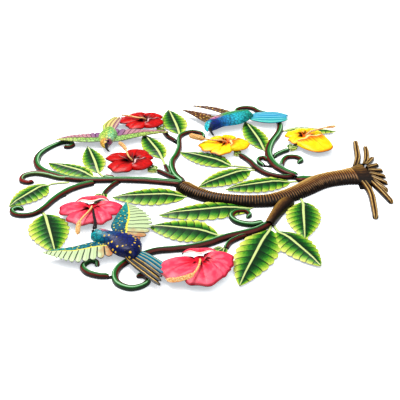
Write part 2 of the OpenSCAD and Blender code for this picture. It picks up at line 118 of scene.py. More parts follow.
world = bpy.data.worlds.new("studio")
bpy.context.scene.world = world
world.use_nodes = True
sky = world.node_tree.nodes
glow = sky["Background"]
glow.inputs["Color"].default_value = (1.0, 1.0, 1.0, 1.0)
compass = sky.new("ShaderNodeTexCoord")
height = sky.new("ShaderNodeSeparateXYZ")
fall = sky.new("ShaderNodeMapRange")
fall.interpolation_type = "SMOOTHSTEP"
for label, value in (("From Min", 0.6), ("From Max", 0.85), ("To Min", 0.22), ("To Max", 1.3)):
    fall.inputs[label].default_value = value
world.node_tree.links.new(compass.outputs["Generated"], height.inputs[0])
world.node_tree.links.new(height.outputs["Z"], fall.inputs["Value"])
world.node_tree.links.new(fall.outputs[0], glow.inputs["Strength"])
bpy.context.scene.view_settings.view_transform = "Standard"

# %% [markdown]
# ## Writing paint as sums
# A painted finish is easier to read as arithmetic than as a drawing of nodes. `Wire` wraps one socket, and
# the signs +, - and * on it add the Math nodes. `Paint` holds one material and adds every other node.

# %% Shader helpers
class Wire:
    """One socket that can be used in sums."""

    def __init__(self, paint, socket):
        self.paint = paint
        self.socket = socket

    def maths(self, operation, *others):
        return self.paint.node("ShaderNodeMath", {"operation": operation}, [self, *others])

    def __add__(self, other):
        return self.maths("ADD", other)

    def __sub__(self, other):
        return self.maths("SUBTRACT", other)

    def __mul__(self, other):
        return self.maths("MULTIPLY", other)

    __radd__ = __add__


PIGMENT = 0.78
GLOSS_LOW = 0.26
GLOSS_SPREAD = 0.2
DIMPLE_DEPTH = 0.0006


def srgb(*parts):
    """A painter's colour, 0 to 255, as the linear numbers that the shader takes, dulled by PIGMENT."""
    linear = [PIGMENT * ((p / 255 / 12.92) if p <= 10 else ((p / 255 + 0.055) / 1.055) ** 2.4)
              for p in parts]
    return (*linear, 1.0)


def dimmed(colour, share):
    """The same painter's colour with only a share of its light."""
    return tuple(int(part * share) for part in colour)


class Paint:
    """One enamel finish, with a thin clear coat over it.

    u, v and w are the paint coordinates along, across and third; spot is the place on the object.
    """

    def __init__(self, name, coat=0.0):
        self.material = bpy.data.materials.new(name)
        self.material.use_nodes = True
        self.tree = self.material.node_tree
        self.shader = self.tree.nodes["Principled BSDF"]
        self.shader.inputs["Coat Weight"].default_value = coat
        self.shader.inputs["Coat Roughness"].default_value = 0.15
        self.shader.inputs["Specular IOR Level"].default_value = 0.12
        place = self.node("ShaderNodeAttribute", {"attribute_name": "place"}, {}, "Vector")
        self.u, self.v, self.w = self.split(place)
        self.spot = self.node("ShaderNodeTexCoord", {}, {}, "Object")

    def node(self, kind, settings=None, inputs=(), output=0):
        """Adds a node: its settings first, then values or links for its sockets."""
        made = self.tree.nodes.new(kind)
        for key, value in (settings or {}).items():
            setattr(made, key, value)
        pairs = inputs.items() if isinstance(inputs, dict) else enumerate(inputs)
        for key, value in pairs:
            if isinstance(value, Wire):
                self.tree.links.new(value.socket, made.inputs[key])
            else:
                made.inputs[key].default_value = value
        return Wire(self, made.outputs[output])

    def split(self, vector):
        made = self.tree.nodes.new("ShaderNodeSeparateXYZ")
        self.tree.links.new(vector.socket, made.inputs[0])
        return [Wire(self, made.outputs[k]) for k in range(3)]

    def vector(self, x, y, z=0.0):
        return self.node("ShaderNodeCombineXYZ", {}, [x, y, z])

    def step(self, value, low, high):
        """0 at low and 1 at high, smooth between; low may be above high."""
        return self.node("ShaderNodeMapRange", {"interpolation_type": "SMOOTHSTEP"},
                         {"Value": value, "From Min": low, "From Max": high})

    def noise(self, vector, scale, detail=2.0):
        return self.node("ShaderNodeTexNoise", {}, {"Vector": vector, "Scale": scale, "Detail": detail})

    def ramp(self, value, stops):
        """Colours at places along 0 to 1."""
        made = self.tree.nodes.new("ShaderNodeValToRGB")
        bar = made.color_ramp
        while len(bar.elements) < len(stops):
            bar.elements.new(0.5)
        for element, (place, colour) in zip(bar.elements, stops):
            element.position = place
            element.color = srgb(*colour)
        self.tree.links.new(value.socket, made.inputs[0])
        return Wire(self, made.outputs[0])

    def mix(self, factor, first, second):
        """first where factor is 0, second where it is 1."""
        first, second = [srgb(*c) if isinstance(c, tuple) else c for c in (first, second)]
        made = self.tree.nodes.new("ShaderNodeMix")
        made.data_type = "RGBA"
        for name, value in (("Factor_Float", factor), ("A_Color", first), ("B_Color", second)):
            socket = next(s for s in made.inputs if s.identifier == name)
            if isinstance(value, Wire):
                self.tree.links.new(value.socket, socket)
            else:
                socket.default_value = value
        return Wire(self, next(s for s in made.outputs if s.identifier == "Result_Color"))

    def plug(self, name, wire):
        """Leads a wire into the Principled shader."""
        self.tree.links.new(wire.socket, self.shader.inputs[name])

    def finish(self, colour, bump=0.25):
        """Colour, uneven gloss, and the faint dimples of hammer and brush."""
        coarse = self.noise(self.spot, 160.0)
        relief = self.noise(self.spot, 900.0) * 0.4 + coarse
        normal = self.node("ShaderNodeBump", {},
                           {"Strength": bump, "Distance": DIMPLE_DEPTH, "Height": relief}, "Normal")
        self.plug("Base Color", colour)
        self.plug("Roughness", GLOSS_LOW + coarse * GLOSS_SPREAD)
        self.plug("Normal", normal)
        return self.material

    def ramp_value(self, value, stops):
        """Plain numbers at places along 0 to 1."""
        made = self.tree.nodes.new("ShaderNodeFloatCurve")
        line = made.mapping.curves[0]
        top = max(v for _, v in stops)
        while len(line.points) < len(stops):
            line.points.new(0.5, 0.5)
        for point, (place, height) in zip(line.points, stops):
            point.location = (place, height / top)
        made.mapping.update()
        self.tree.links.new(value.socket, made.inputs["Value"])
        return Wire(self, made.outputs[0]) * top

    def bands(self, value):
        """0 on each whole number of value, rising to 0.5 half way to the next."""
        return self.node("ShaderNodeMath", {"operation": "PINGPONG"}, [value, 0.5])

    def cell(self, value):
        return self.node("ShaderNodeMath", {"operation": "FRACT"}, [value])

    def away(self, value, middle):
        """Distance of value from middle."""
        return self.node("ShaderNodeMath", {"operation": "ABSOLUTE"}, [value - middle])


# %% Floor
def floor_material():
    """Matt white paper with a faint glow of its own."""
    paint = Paint("floor_paper")
    cloud = paint.noise(paint.spot, 3.0)
    shade = paint.node("ShaderNodeMapRange", {}, {"Value": cloud, "To Min": 0.95, "To Max": 0.99})
    paint.plug("Base Color", shade)
    paint.shader.inputs["Roughness"].default_value = 0.9
    paint.shader.inputs["Emission Color"].default_value = (0.9, 0.95, 1.0, 1.0)
    paint.shader.inputs["Emission Strength"].default_value = 0.5
    return paint.material


floor_mesh = bpy.data.meshes.new("floor")
corners = [(x * FLOOR_REACH, y * FLOOR_REACH, 0) for x, y in ((-1, -1), (1, -1), (1, 1), (-1, 1))]
floor_mesh.from_pydata(corners, [], [(0, 1, 2, 3)])
floor = bpy.data.objects.new("floor", floor_mesh)
bpy.context.scene.collection.objects.link(floor)
floor_mesh.materials.append(floor_material())

# %% [markdown]
# ## Forming sheet
# Every piece starts as a front surface: a grid of points, with a paint coordinate at each point that says
# how far it lies along the piece, across it, and a third number for whatever the paint needs. `Piece`
# gives that surface its thickness and rim, and puts the black backing paint on what faces the wall.

# %% Curves and grids
def curve(points, steps=8):
    """A smooth line through the points, which may be places or plain numbers."""
    points = np.array(points, float)
    flat = points.ndim == 1
    if flat:
        points = points[:, None]
    ends = np.vstack([points[:1], points, points[-1:]])
    out = []
    for p0, p1, p2, p3 in zip(ends[:-3], ends[1:-2], ends[2:-1], ends[3:]):
        for t in np.linspace(0, 1, steps, endpoint=False):
            out.append(0.5 * (2 * p1 + (p2 - p0) * t + (2 * p0 - 5 * p1 + 4 * p2 - p3) * t * t
                              + (3 * p1 - p0 - 3 * p2 + p3) * t ** 3))
    out = np.array(out + [points[-1]])
    return out[:, 0] if flat else out


def evenly(line, spacing):
    """The line again, with points at equal spacing, and how far along each one lies."""
    gaps = np.linalg.norm(np.diff(line, axis=0), axis=1)
    reach = np.concatenate([[0], np.cumsum(gaps)])
    count = max(4, int(round(reach[-1] / spacing)) + 1)
    along = np.linspace(0, reach[-1], count)
    return np.stack([np.interp(along, reach, line[:, k]) for k in range(line.shape[1])], 1), along


def sides(line):
    """The direction to the left of the line at each point."""
    run = np.gradient(line, axis=0)
    run /= np.linalg.norm(run, axis=1)[:, None]
    return np.stack([-run[:, 1], run[:, 0]], 1)


def normals(grid):
    """Outward directions of a grid, on the side that faces up."""
    face = np.cross(np.gradient(grid, axis=0), np.gradient(grid, axis=1))
    face /= np.maximum(np.linalg.norm(face, axis=2), 1e-9)[..., None]
    return face * (-1.0 if face[..., 2].mean() < 0 else 1.0)


def bell(x, width):
    return np.exp(-(x / width) ** 2)


def mark(mesh, name, kind, key, values):
    """Stores numbers at the points of a mesh, for a paint or a geometry tree to read."""
    store = mesh.attributes.new(name, kind, "POINT")
    store.data.foreach_set(key, np.asarray(values, np.float32).ravel())


def placed(name, data):
    """A new object in the scene, at the origin."""
    made = bpy.data.objects.new(name, data)
    bpy.context.scene.collection.objects.link(made)
    return made


class Piece:
    """A piece of the relief, gathered from sheets and solids in millimetres."""

    def __init__(self, name):
        self.name = name
        self.points, self.faces, self.slots, self.place = [], [], [], []

    def add(self, points, faces, slots, place):
        start = sum(len(p) for p in self.points)
        self.points.append(points)
        self.faces += [[start + i for i in f] for f in faces]
        self.slots += slots
        self.place.append(place)

    def sheet(self, front, place, thickness=SHEET, slot=0):
        """Gives a front surface its back and its rim."""
        n, m = front.shape[:2]
        size = n * m
        ids = np.arange(size).reshape(n, m)
        up = np.cross(np.gradient(front, axis=0), np.gradient(front, axis=1))[..., 2].mean() > 0
        quads = np.stack([ids[:-1, :-1], ids[1:, :-1], ids[1:, 1:], ids[:-1, 1:]], -1).reshape(-1, 4)
        loop = np.concatenate([ids[:-1, 0], ids[-1, :-1], ids[:0:-1, -1], ids[0, :0:-1]])
        after = np.roll(loop, -1)
        rim = np.stack([after, loop, loop + size, after + size], -1)
        if not up:
            quads, rim = quads[:, ::-1], rim[:, ::-1]
        back = front - normals(front) * thickness
        back[..., 2] = np.maximum(back[..., 2], 0.0)
        points = np.vstack([front.reshape(-1, 3), back.reshape(-1, 3)])
        faces = np.vstack([quads, quads[:, ::-1] + size, rim]).tolist()
        slots = [slot] * len(quads) + [1] * (len(quads) + len(rim))
        spots = place.reshape(-1, 3)
        self.add(points, faces, slots, np.vstack([spots, spots]))

    def tab(self, start, end, width=TAB_W):
        """The flat tab that laps under the next piece."""
        start, end = np.array(start, float), np.array(end, float)
        run = (end - start) / np.linalg.norm(end - start)
        side = np.array([-run[1], run[0]]) * width / 2
        rows = [[*(p + side * k), SHEET] for p in (start, (start + end) / 2, end) for k in (1, 0, -1)]
        front = np.array(rows).reshape(3, 3, 3)
        self.sheet(front, np.full_like(front, 0.5), SHEET, 1)

    def build(self, *materials):
        mesh = bpy.data.meshes.new(self.name)
        points = (np.vstack(self.points) + MIDDLE) * MM
        mesh.from_pydata(points.tolist(), [], self.faces)
        mesh.polygons.foreach_set("material_index", self.slots)
        mark(mesh, "place", "FLOAT_VECTOR", "vector", np.vstack(self.place))
        for material in materials:
            mesh.materials.append(material)
        mesh.shade_smooth()
        mesh.set_sharp_from_angle(angle=math.radians(50))
        return placed(self.name, mesh)


def settle(piece, slot, *nodes):
    """Hands a finished piece to the frame, in place of its nodes."""
    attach(piece, "root")
    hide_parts(*nodes)
    low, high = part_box(nodes[0])
    mine = np.array([v.co for v in piece.data.vertices])
    off = np.abs([mine.min(0) - np.array(low), mine.max(0) - np.array(high)]).max()
    print(f"{piece.name}: {len(mine)} points, box within {off / MM:.1f} mm of its node")


# %% [markdown]
# ## Backing paint
# The back of such a relief and the cut edges of its sheet are brushed with black enamel. It shows as the
# thin dark line that the painter leaves round every shape.

# %% Black backing
def black_backing():
    paint = Paint("black_backing")
    cloud = paint.noise(paint.spot, 60.0, 4.0)
    colour = paint.ramp(cloud, [(0.3, (10, 9, 10)), (0.75, (34, 30, 28))])
    return paint.finish(colour, 0.3)


BACKING = black_backing()

# %% [markdown]
# ## Trunk, branch and roots
# The trunk is a half-round channel, chased across its width with fine ridges. The channel is a grid
# swept along the trunk's curve. The ridges are one bent wire, repeated by Geometry Nodes on a row of
# points that carry the trunk's turn and width, so each ridge fits the place where it lies.

# %% Channels
CHANNEL_STEP = 2.0


def channel_front(points, widths, height, columns=17, tip=0.35, start=0.8, fullness=0.62):
    """The front of a channel of sheet along a curve, its paint coordinates, its line and its widths."""
    line, along = evenly(curve(points), CHANNEL_STEP)
    table = curve(widths)
    share = along / along[-1]
    width = np.interp(share, np.linspace(0, 1, len(table)), table)
    end = np.minimum(1, np.sqrt(np.clip((along[-1] - along) / (width * 0.5), 0, 1)) * (1 - tip) + tip)
    begin = np.minimum(1, np.sqrt(np.clip(along / (width * 0.5), 0, 1)) * (1 - start) + start)
    rounding = np.minimum(end, begin)
    width = width * rounding
    rise = height * np.minimum(1, width / 9.0) ** 0.35 * rounding
    turn = np.linspace(0, math.pi, columns)
    across, arch = np.cos(turn), np.clip(np.sin(turn), 0, 1) ** fullness
    left = sides(line)
    grid = np.zeros((len(line), columns, 3))
    grid[..., :2] = line[:, None] + left[:, None] * (across[None, :, None] * width[:, None, None] / 2)
    grid[..., 2] = SHEET + rise[:, None] * arch[None]
    place = np.zeros_like(grid)
    place[..., 0] = share[:, None]
    place[..., 1] = (across[None] + 1) / 2
    place[..., 2] = along[:, None]
    return grid, place, line, width


BARK_COAT = 0.02


def bark_paint(name, shade):
    """Painted highlight in ochre on one flank and painted shade, near black, on the other, with painted shade
    in the furrows at the foot.

    shade says how dark the painted shade on the ground between the ridges is.
    """
    paint = Paint(name, BARK_COAT)
    drag = paint.noise(paint.vector(paint.w * 0.03, paint.v * 3.0), 4.0, 4.0)
    tone = paint.v + (drag - 0.5) * 0.5
    # Painted highlight in ochre on one flank, fading to painted shade, near black, on the other.
    colour = paint.ramp(tone, [(0.04, (110, 82, 34)), (0.2, (150, 112, 46)), (0.4, (112, 76, 30)),
                               (0.6, (62, 36, 14)), (0.8, (26, 14, 7)), (1.0, (12, 7, 5))])
    # Painted shade on the ground between the ridges, as strong as shade says.
    ridge_gap_shade = paint.step(paint.v, 0.02, 0.2) * paint.step(paint.u, 0.05, 0.09)
    colour = paint.mix(ridge_gap_shade * shade, colour, (14, 8, 5))
    # Painted shade in the furrows at the trunk's foot.
    furrow = paint.step(paint.bands(paint.v * 8.0 + 0.5), 0.2, 0.06) * paint.step(paint.u, 0.1, 0.05)
    return paint.finish(paint.mix(furrow * 0.9, colour, (24, 13, 7)), 0.3)


BARK = bark_paint("bark_enamel", 0.7)
BRANCH_BARK = bark_paint("branch_enamel", 0.0)

# %% [markdown]
# The trunk's grid is fine enough to carry its slow swelling, and the chased ridges stand on it as real
# wires. The node tree takes the points, the height and the wire's radius as named inputs.

# %% Ridges by Geometry Nodes
def tree_with(name, *sockets):
    """An empty geometry tree with a geometry input and output, and named inputs for its sizes."""
    tree = bpy.data.node_groups.new(name, "GeometryNodeTree")
    tree.interface.new_socket("Geometry", in_out="INPUT", socket_type="NodeSocketGeometry")
    for label, kind in sockets:
        tree.interface.new_socket(label, in_out="INPUT", socket_type=kind)
    tree.interface.new_socket("Geometry", in_out="OUTPUT", socket_type="NodeSocketGeometry")
    return tree, tree.nodes.new("NodeGroupInput"), tree.nodes.new("NodeGroupOutput")


def joined(tree, kind, settings=None, inputs=None):
    """Adds a node to a geometry tree: settings first, then values or links by socket name or number."""
    made = tree.nodes.new(kind)
    for key, value in (settings or {}).items():
        setattr(made, key, value)
    for key, value in (inputs or {}).items():
        if isinstance(value, bpy.types.NodeSocket):
            tree.links.new(value, made.inputs[key])
        else:
            made.inputs[key].default_value = value
    return made


def finished(tree, copies, given, out):
    """Makes the copies real, smooths and paints them, and leads them out of the tree."""
    real = joined(tree, "GeometryNodeRealizeInstances", None, {"Geometry": copies.outputs[0]})
    smooth = joined(tree, "GeometryNodeSetShadeSmooth", None, {0: real.outputs[0]})
    painted = joined(tree, "GeometryNodeSetMaterial", None,
                     {"Geometry": smooth.outputs[0], "Material": given.outputs["Paint"]})
    tree.links.new(painted.outputs[0], out.inputs[0])
    return tree


def grown(carrier, tree, **sizes):
    """The plain mesh that a geometry tree makes on a carrier object, which it uses up."""
    modifier = carrier.modifiers.new("grow", "NODES")
    modifier.node_group = tree
    for item in tree.interface.items_tree:
        key = item.name.replace(" ", "_")
        if item.in_out == "INPUT" and key in sizes:
            modifier[item.identifier] = sizes[key]
    made = bpy.data.meshes.new_from_object(carrier.evaluated_get(bpy.context.evaluated_depsgraph_get()))
    carrier.modifiers.remove(modifier)
    bpy.data.objects.remove(carrier)
    return made


def ridge_tree():
    """Half rings of wire on points that say how far each is turned and how wide and high it is."""
    tree, given, out = tree_with("ridges", ("Wire radius", "NodeSocketFloat"),
                                 ("Paint", "NodeSocketMaterial"))
    arc = joined(tree, "GeometryNodeCurveArc", {"mode": "RADIUS"},
                 {"Resolution": 17, "Radius": 1.0, "Start Angle": 0.0, "Sweep Angle": math.pi})
    ring = joined(tree, "GeometryNodeCurvePrimitiveCircle", {"mode": "RADIUS"},
                  {"Resolution": 6, "Radius": given.outputs["Wire radius"]})
    wire = joined(tree, "GeometryNodeCurveToMesh", None,
                  {"Curve": arc.outputs["Curve"], "Profile Curve": ring.outputs["Curve"]})
    spot = joined(tree, "GeometryNodeInputPosition")
    parts = joined(tree, "ShaderNodeSeparateXYZ", None, {0: spot.outputs[0]})
    share = joined(tree, "ShaderNodeMath", {"operation": "MULTIPLY_ADD"},
                   {0: parts.outputs[0], 1: 0.5, 2: 0.5})
    place = joined(tree, "ShaderNodeCombineXYZ", None, {0: 0.5, 1: share.outputs[0], 2: 0.0})
    marked = joined(tree, "GeometryNodeStoreNamedAttribute", {"data_type": "FLOAT_VECTOR", "domain": "POINT"},
                    {"Geometry": wire.outputs[0], "Name": "place", "Value": place.outputs[0]})
    upright = joined(tree, "GeometryNodeTransform", None,
                     {"Geometry": marked.outputs[0], "Rotation": (math.pi / 2, 0, 0)})
    turn = joined(tree, "GeometryNodeInputNamedAttribute", {"data_type": "FLOAT"}, {"Name": "turn"})
    size = joined(tree, "GeometryNodeInputNamedAttribute", {"data_type": "FLOAT_VECTOR"}, {"Name": "size"})
    angle = joined(tree, "ShaderNodeCombineXYZ", None, {0: 0.0, 1: 0.0, 2: turn.outputs[0]})
    copies = joined(tree, "GeometryNodeInstanceOnPoints", None,
                    {"Points": given.outputs[0], "Instance": upright.outputs[0],
                     "Rotation": angle.outputs[0], "Scale": size.outputs[0]})
    return finished(tree, copies, given, out)


RIDGES = ridge_tree()


RIDGE_START = 0.07
RIDGE_END = 0.985
RIDGE_PITCH = 4.2
RIDGE_WIRE = 0.066


def ridges(name, front, line, width, paint):
    """Wire ridges over a channel; the wire's radius is a share of the half width."""
    left = sides(line)
    gaps = np.linalg.norm(np.diff(line, axis=0), axis=1)
    along = np.concatenate([[0], np.cumsum(gaps)])
    stops = np.arange(RIDGE_START * along[-1], RIDGE_END * along[-1], RIDGE_PITCH)
    crest = front[..., 2].max(axis=1) - SHEET
    rows = (*line.T, *left.T, width, crest)
    x, y, left_x, left_y, span, high = [np.interp(stops, along, row) for row in rows]
    spots = np.stack([x, y, np.full_like(x, SHEET)], 1)
    mesh = bpy.data.meshes.new(name)
    mesh.from_pydata(((spots + MIDDLE) * MM).tolist(), [], [])
    mark(mesh, "turn", "FLOAT", "value", np.arctan2(left_y, left_x))
    mark(mesh, "size", "FLOAT_VECTOR", "vector", np.stack([span / 2, span / 2, high], 1) * MM)
    print(f"{name}: {len(stops)} ridges")
    return grown(placed(name, mesh), RIDGES, Wire_radius=RIDGE_WIRE, Paint=paint)


def merged(piece, *meshes):
    """Joins plain meshes into a piece."""
    extra = [placed("part", mesh) for mesh in meshes]
    with bpy.context.temp_override(active_object=piece, selected_editable_objects=[piece, *extra]):
        bpy.ops.object.join()
    return piece


# %% Trunk
def ridge_paint():
    """Painted highlight in ochre on the flank where the bark is lit, a last dull painted glint, and painted
    shade on the far flank.
    """
    paint = Paint("ridge_enamel", BARK_COAT)
    grain = paint.noise(paint.spot, 220.0, 3.0)
    tone = paint.v + (grain - 0.5) * 0.3
    # Painted highlight on the lit flank, a painted glint at 0.8, and painted shade towards the far flank.
    colour = paint.ramp(tone, [(0.05, (170, 128, 58)), (0.2, (240, 200, 120)), (0.38, (206, 158, 84)),
                               (0.54, (160, 104, 40)), (0.68, (112, 66, 26)), (0.8, (154, 114, 76)),
                               (0.94, (24, 14, 8))])
    return paint.finish(colour, 0.2)


RIDGE_PAINT = ridge_paint()
TRUNK_LINE = [(4, -274), (-4, -240), (-10, -215), (-20, -192), (-40, -168), (-61, -140),
              (-74, -112), (-76, -85), (-72, -55), (-62, -22), (-44, 5), (-18, 28)]
TRUNK_WIDTHS = [70, 44, 38, 36, 33, 30, 28, 26, 24, 24, 26, 28]
FLARE_SHARE = 0.09
FURROW_DEPTH = 2.6


def flipped(place):
    """Paint coordinates with the two flanks of a channel exchanged."""
    place = place.copy()
    place[..., 1] = 1 - place[..., 1]
    return place


def make_trunk():
    piece = Piece("trunk")
    front, place, line, width = channel_front(TRUNK_LINE, TRUNK_WIDTHS, TRUNK_H - 1.2, 41,
                                              tip=0.9, start=1.0, fullness=1.0)
    flare = np.clip(1 - place[..., 0] / FLARE_SHARE, 0, 1) ** 0.7
    furrow = 0.5 + 0.5 * np.cos((place[..., 1] * 8 + 0.5) * 2 * math.pi)
    front[..., 2] -= FURROW_DEPTH * flare * furrow * np.sin(place[..., 1] * math.pi)
    piece.sheet(front, place)
    trunk = piece.build(BARK, BACKING)
    wires = ridges("trunk_ridges", front, line, width, RIDGE_PAINT)
    settle(merged(trunk, wires), "bark_paint", "trunk")


make_trunk()

# %% [markdown]
# The left branch is smoother than the trunk, with a painted ochre highlight on its upper flank. Each root is
# one tapering channel. Two ridges run along it, as if the wood were twisted, with painted pale highlights on
# their crests.

# %% Branch and roots
def make_branch():
    piece = Piece("left_branch")
    front, place, *_ = channel_front([(-76, -138), (-104, -121), (-146, -102)], [24, 19, 15],
                                     TRUNK_H - 3, 21, tip=0.9, start=0.9)
    piece.sheet(front, place)
    piece.tab((-92, -128), (-60, -142))
    settle(piece.build(BRANCH_BARK, BACKING), "bark_paint", "left_branch")


def root_paint():
    """Painted highlight in cream and ochre along the crests of a root, painted shade in black-brown in its
    furrows.
    """
    paint = Paint("root_enamel", BARK_COAT)
    drag = paint.noise(paint.vector(paint.w * 0.02, paint.v * 2.0), 6.0, 4.0)
    # Painted highlight on the two crests, painted shade in the furrow between them and at the edges.
    crest = paint.bands(paint.v * 2.0 + (drag - 0.5) * 0.35)
    colour = paint.ramp(crest, [(0.08, (20, 11, 7)), (0.22, (86, 52, 20)), (0.36, (150, 106, 44)),
                                (0.47, (224, 192, 122))])
    # Painted shade, darker where the root leaves the trunk's foot.
    shade = paint.step(paint.u, 0.3, 0.0)
    return paint.finish(paint.mix(shade * 0.65, colour, (44, 26, 12)), 0.3)


ROOT_PAINT = root_paint()


def add_root(piece, points, wide):
    """A tapering root with a furrow between two crests, swaying a little as it runs."""
    front, place, *_ = channel_front(points, [wide, wide, 0.95 * wide, 0.8 * wide], ROOT_H, 19,
                                     tip=0.3, start=0.9)
    across = place[..., 1]
    furrow = np.where(np.abs(across - 0.5) < 0.25, -0.5 - 0.5 * np.cos(across * 4 * math.pi), 0.0)
    front[..., 2] += furrow * 1.6 * np.sin(across * math.pi)
    front[..., 0] += np.sin(place[..., 2] / 9.0 + wide) * 0.8
    piece.sheet(front, place)


def make_roots(name, roots, tab):
    """A group of roots on one shared tab."""
    piece = Piece(name)
    for points, wide in roots:
        add_root(piece, points, wide)
    piece.tab(*tab)
    settle(piece.build(ROOT_PAINT, BACKING), "bark_paint", name)


def short_root(number, tip):
    """One of the six middle roots, from its own place under the trunk's foot to its tip."""
    start, tip = np.array([10 + (number - 2.5) * 10, -279.0]), np.array(tip)
    return [start, start * 0.7 + tip * 0.3, start * 0.35 + tip * 0.65, tip], ROOT_W - 2.5


TIPS = [(-53, -297), (-29, -302), (-6, -304), (16, -304), (38, -301), (64, -297)]

make_branch()
make_roots("left_roots", [([(-14, -263), (-54, -269), (-92, -267), (-134, -262)], ROOT_W),
                          ([(-14, -277), (-38, -283), (-64, -290), (-90, -296)], ROOT_W - 1)],
           ((-40, -266), (0, -266), 20))
make_roots("middle_roots", [short_root(number, tip) for number, tip in enumerate(TIPS)],
           ((10, -285), (10, -262), 44))
make_roots("right_roots", [([(32, -261), (60, -270), (92, -274), (128, -278)], ROOT_W),
                           ([(36, -277), (56, -284), (82, -289), (106, -291)], ROOT_W - 1)],
           ((24, -266), (48, -270), 18))

# %% [markdown]
# ## Stems and scrolls
# Every stem has two ribs side by side: a broad green one with a painted mint highlight along its crest, and a
# narrow red-brown one. The same swept channel makes them all, with a groove pressed between the ribs. Which
# flank is brown changes from stem to stem, so the paint coordinate is flipped where it has to be.

# %% Stem paint
ENAMEL_COAT = 0.032


def stem_paint(name, brown_share, brown, green):
    """Brown rib, dark groove, green rib with a painted mint highlight along its crest; the lines wander as a
    brush does.
    """
    paint = Paint(name, ENAMEL_COAT)
    sway = paint.noise(paint.vector(paint.w * 0.012, 0.0), 3.0)
    drag = paint.noise(paint.vector(paint.w * 0.02, paint.v * 7.0), 5.0, 3.0)
    tone = paint.v + (sway - 0.5) * 0.16
    dark = dimmed(green, 0.25)
    # The pale mint stops on the green rib are a painted highlight along its crest.
    colour = paint.ramp(tone, [
        (0.03, (16, 10, 10)), (0.1, brown), (brown_share - 0.06, dimmed(brown, 0.8)),
        (brown_share, dark), (brown_share + 0.09, green), (0.64, green), (0.7, (176, 224, 180)),
        (0.77, (150, 205, 150)), (0.83, green), (0.97, dark)])
    worn = paint.step(drag, 0.6, 0.75)
    return paint.finish(paint.mix(worn * 0.5, colour, dark), 0.25)


GREEN_STEM = stem_paint("green_stem_enamel", 0.34, (104, 32, 20), (34, 112, 42))
BROWN_STEM = stem_paint("brown_stem_enamel", 0.46, (92, 28, 18), (40, 112, 46))
RED_TIP = stem_paint("red_tip_enamel", 0.6, (142, 30, 24), (96, 120, 56))


def add_stem(piece, points, widths, brown_left=True, height=STEM_H, slot=0, tip=0.35):
    """A stem with a groove pressed between its brown rib and its green one."""
    front, place, _, width = channel_front(points, widths, height, tip=tip)
    if brown_left:
        place = flipped(place)
    groove = bell(place[..., 1] - 0.36, 0.09) * 1.5 + bell(place[..., 1] - 0.2, 0.1) * -0.2
    front[..., 2] -= groove * np.minimum(1, width / 10)[:, None]
    piece.sheet(front, place, SHEET, slot)


def make_stem(name, stems, laps, paint, brown_left=True):
    """A piece of one or more stems with their tabs."""
    piece = Piece(name)
    for points, widths in stems:
        add_stem(piece, points, widths, brown_left)
    for start, end in laps:
        piece.tab(start, end)
    settle(piece.build(paint, BACKING), "stem_paint", name)


# %% Main stems
make_stem("centre_stem", [(
    [(-10, 27), (-2, 55), (5, 85), (10, 127), (11, 172), (18, 210), (33, 236), (50, 260), (71, 274),
     (97, 279), (122, 273), (142, 260), (156, 245), (158, 231), (148, 222), (138, 228), (141, 238)],
    [STEM_W + 3, STEM_W + 3, STEM_W + 1, STEM_W, STEM_W, STEM_W - 1, STEM_W - 2, 8, 7])],
    [((-12, 38), (-30, 18))], GREEN_STEM)
make_stem("top_left_scroll", [(
    [(2, 172), (-6, 190), (-18, 207), (-34, 220), (-53, 231), (-76, 241), (-93, 254), (-97, 271), (-91, 285),
     (-80, 290), (-73, 283), (-77, 272)],
    [STEM_W, STEM_W, STEM_W - 1, STEM_W - 3, 8, 8, 7])],
    [((1, 176), (11, 168))], GREEN_STEM)
make_stem("top_scroll", [(
    [(21, 210), (22, 228), (34, 250), (41, 272), (33, 290), (17, 292), (9, 280), (14, 271)],
    [9, 11, 12, 11, 9, 8, 7])],
    [((22, 216), (16, 204))], RED_TIP, False)
make_stem("right_upper_stem", [(
    [(-2, 26), (20, 38), (46, 44), (72, 44), (94, 38), (121, 33), (147, 33), (168, 32), (183, 20), (186, 6),
     (178, -7), (164, -10), (155, -4)],
    [STEM_W - 1, STEM_W - 1, STEM_W - 2, STEM_W - 3, 9, 8, 8])],
    [((4, 29), (-24, 18))], GREEN_STEM, False)
make_stem("left_stem", [(
    [(-142, -102), (-158, -83), (-167, -60), (-176, -36), (-190, -12), (-200, 14), (-203, 40),
     (-207, 66), (-222, 92)],
    [STEM_W - 1, STEM_W + 1, STEM_W, STEM_W, STEM_W - 1, STEM_W - 2])],
    [((-150, -92), (-134, -107))], BROWN_STEM)
make_stem("left_scrolls", [
    ([(-226, 98), (-243, 112), (-263, 117), (-283, 111), (-294, 95), (-290, 79), (-278, 71),
      (-267, 77), (-266, 88)],
     [STEM_W - 3, STEM_W - 3, STEM_W - 3, 9, 8, 7, 7]),
    ([(-265, 125), (-264, 138), (-255, 155), (-240, 163), (-228, 155), (-230, 145), (-239, 143)],
     [8, STEM_W - 4, STEM_W - 4, 8, 7, 7])],
    [((-232, 104), (-218, 86)), ((-265, 128), (-262, 114))], GREEN_STEM)
make_stem("small_left_scroll", [(
    [(-137, -93), (-142, -75), (-134, -56), (-118, -48), (-104, -56), (-103, -70), (-114, -76), (-121, -70)],
    [STEM_W - 2, STEM_W - 3, STEM_W - 4, 8, 7, 7])],
    [((-138, -88), (-130, -110))], GREEN_STEM, False)
make_stem("right_lower_stem", [(
    [(8, -160), (22, -144), (46, -129), (75, -122), (103, -123), (134, -131), (160, -142), (189, -151),
     (220, -152), (248, -142), (268, -119), (285, -108), (289, -92), (283, -79), (272, -75), (265, -83),
     (269, -92)],
    [STEM_W + 1, STEM_W + 2, STEM_W + 1, STEM_W, STEM_W - 1, STEM_W - 3, 9, 8, 7])],
    [((12, -157), (-6, -168))], GREEN_STEM)
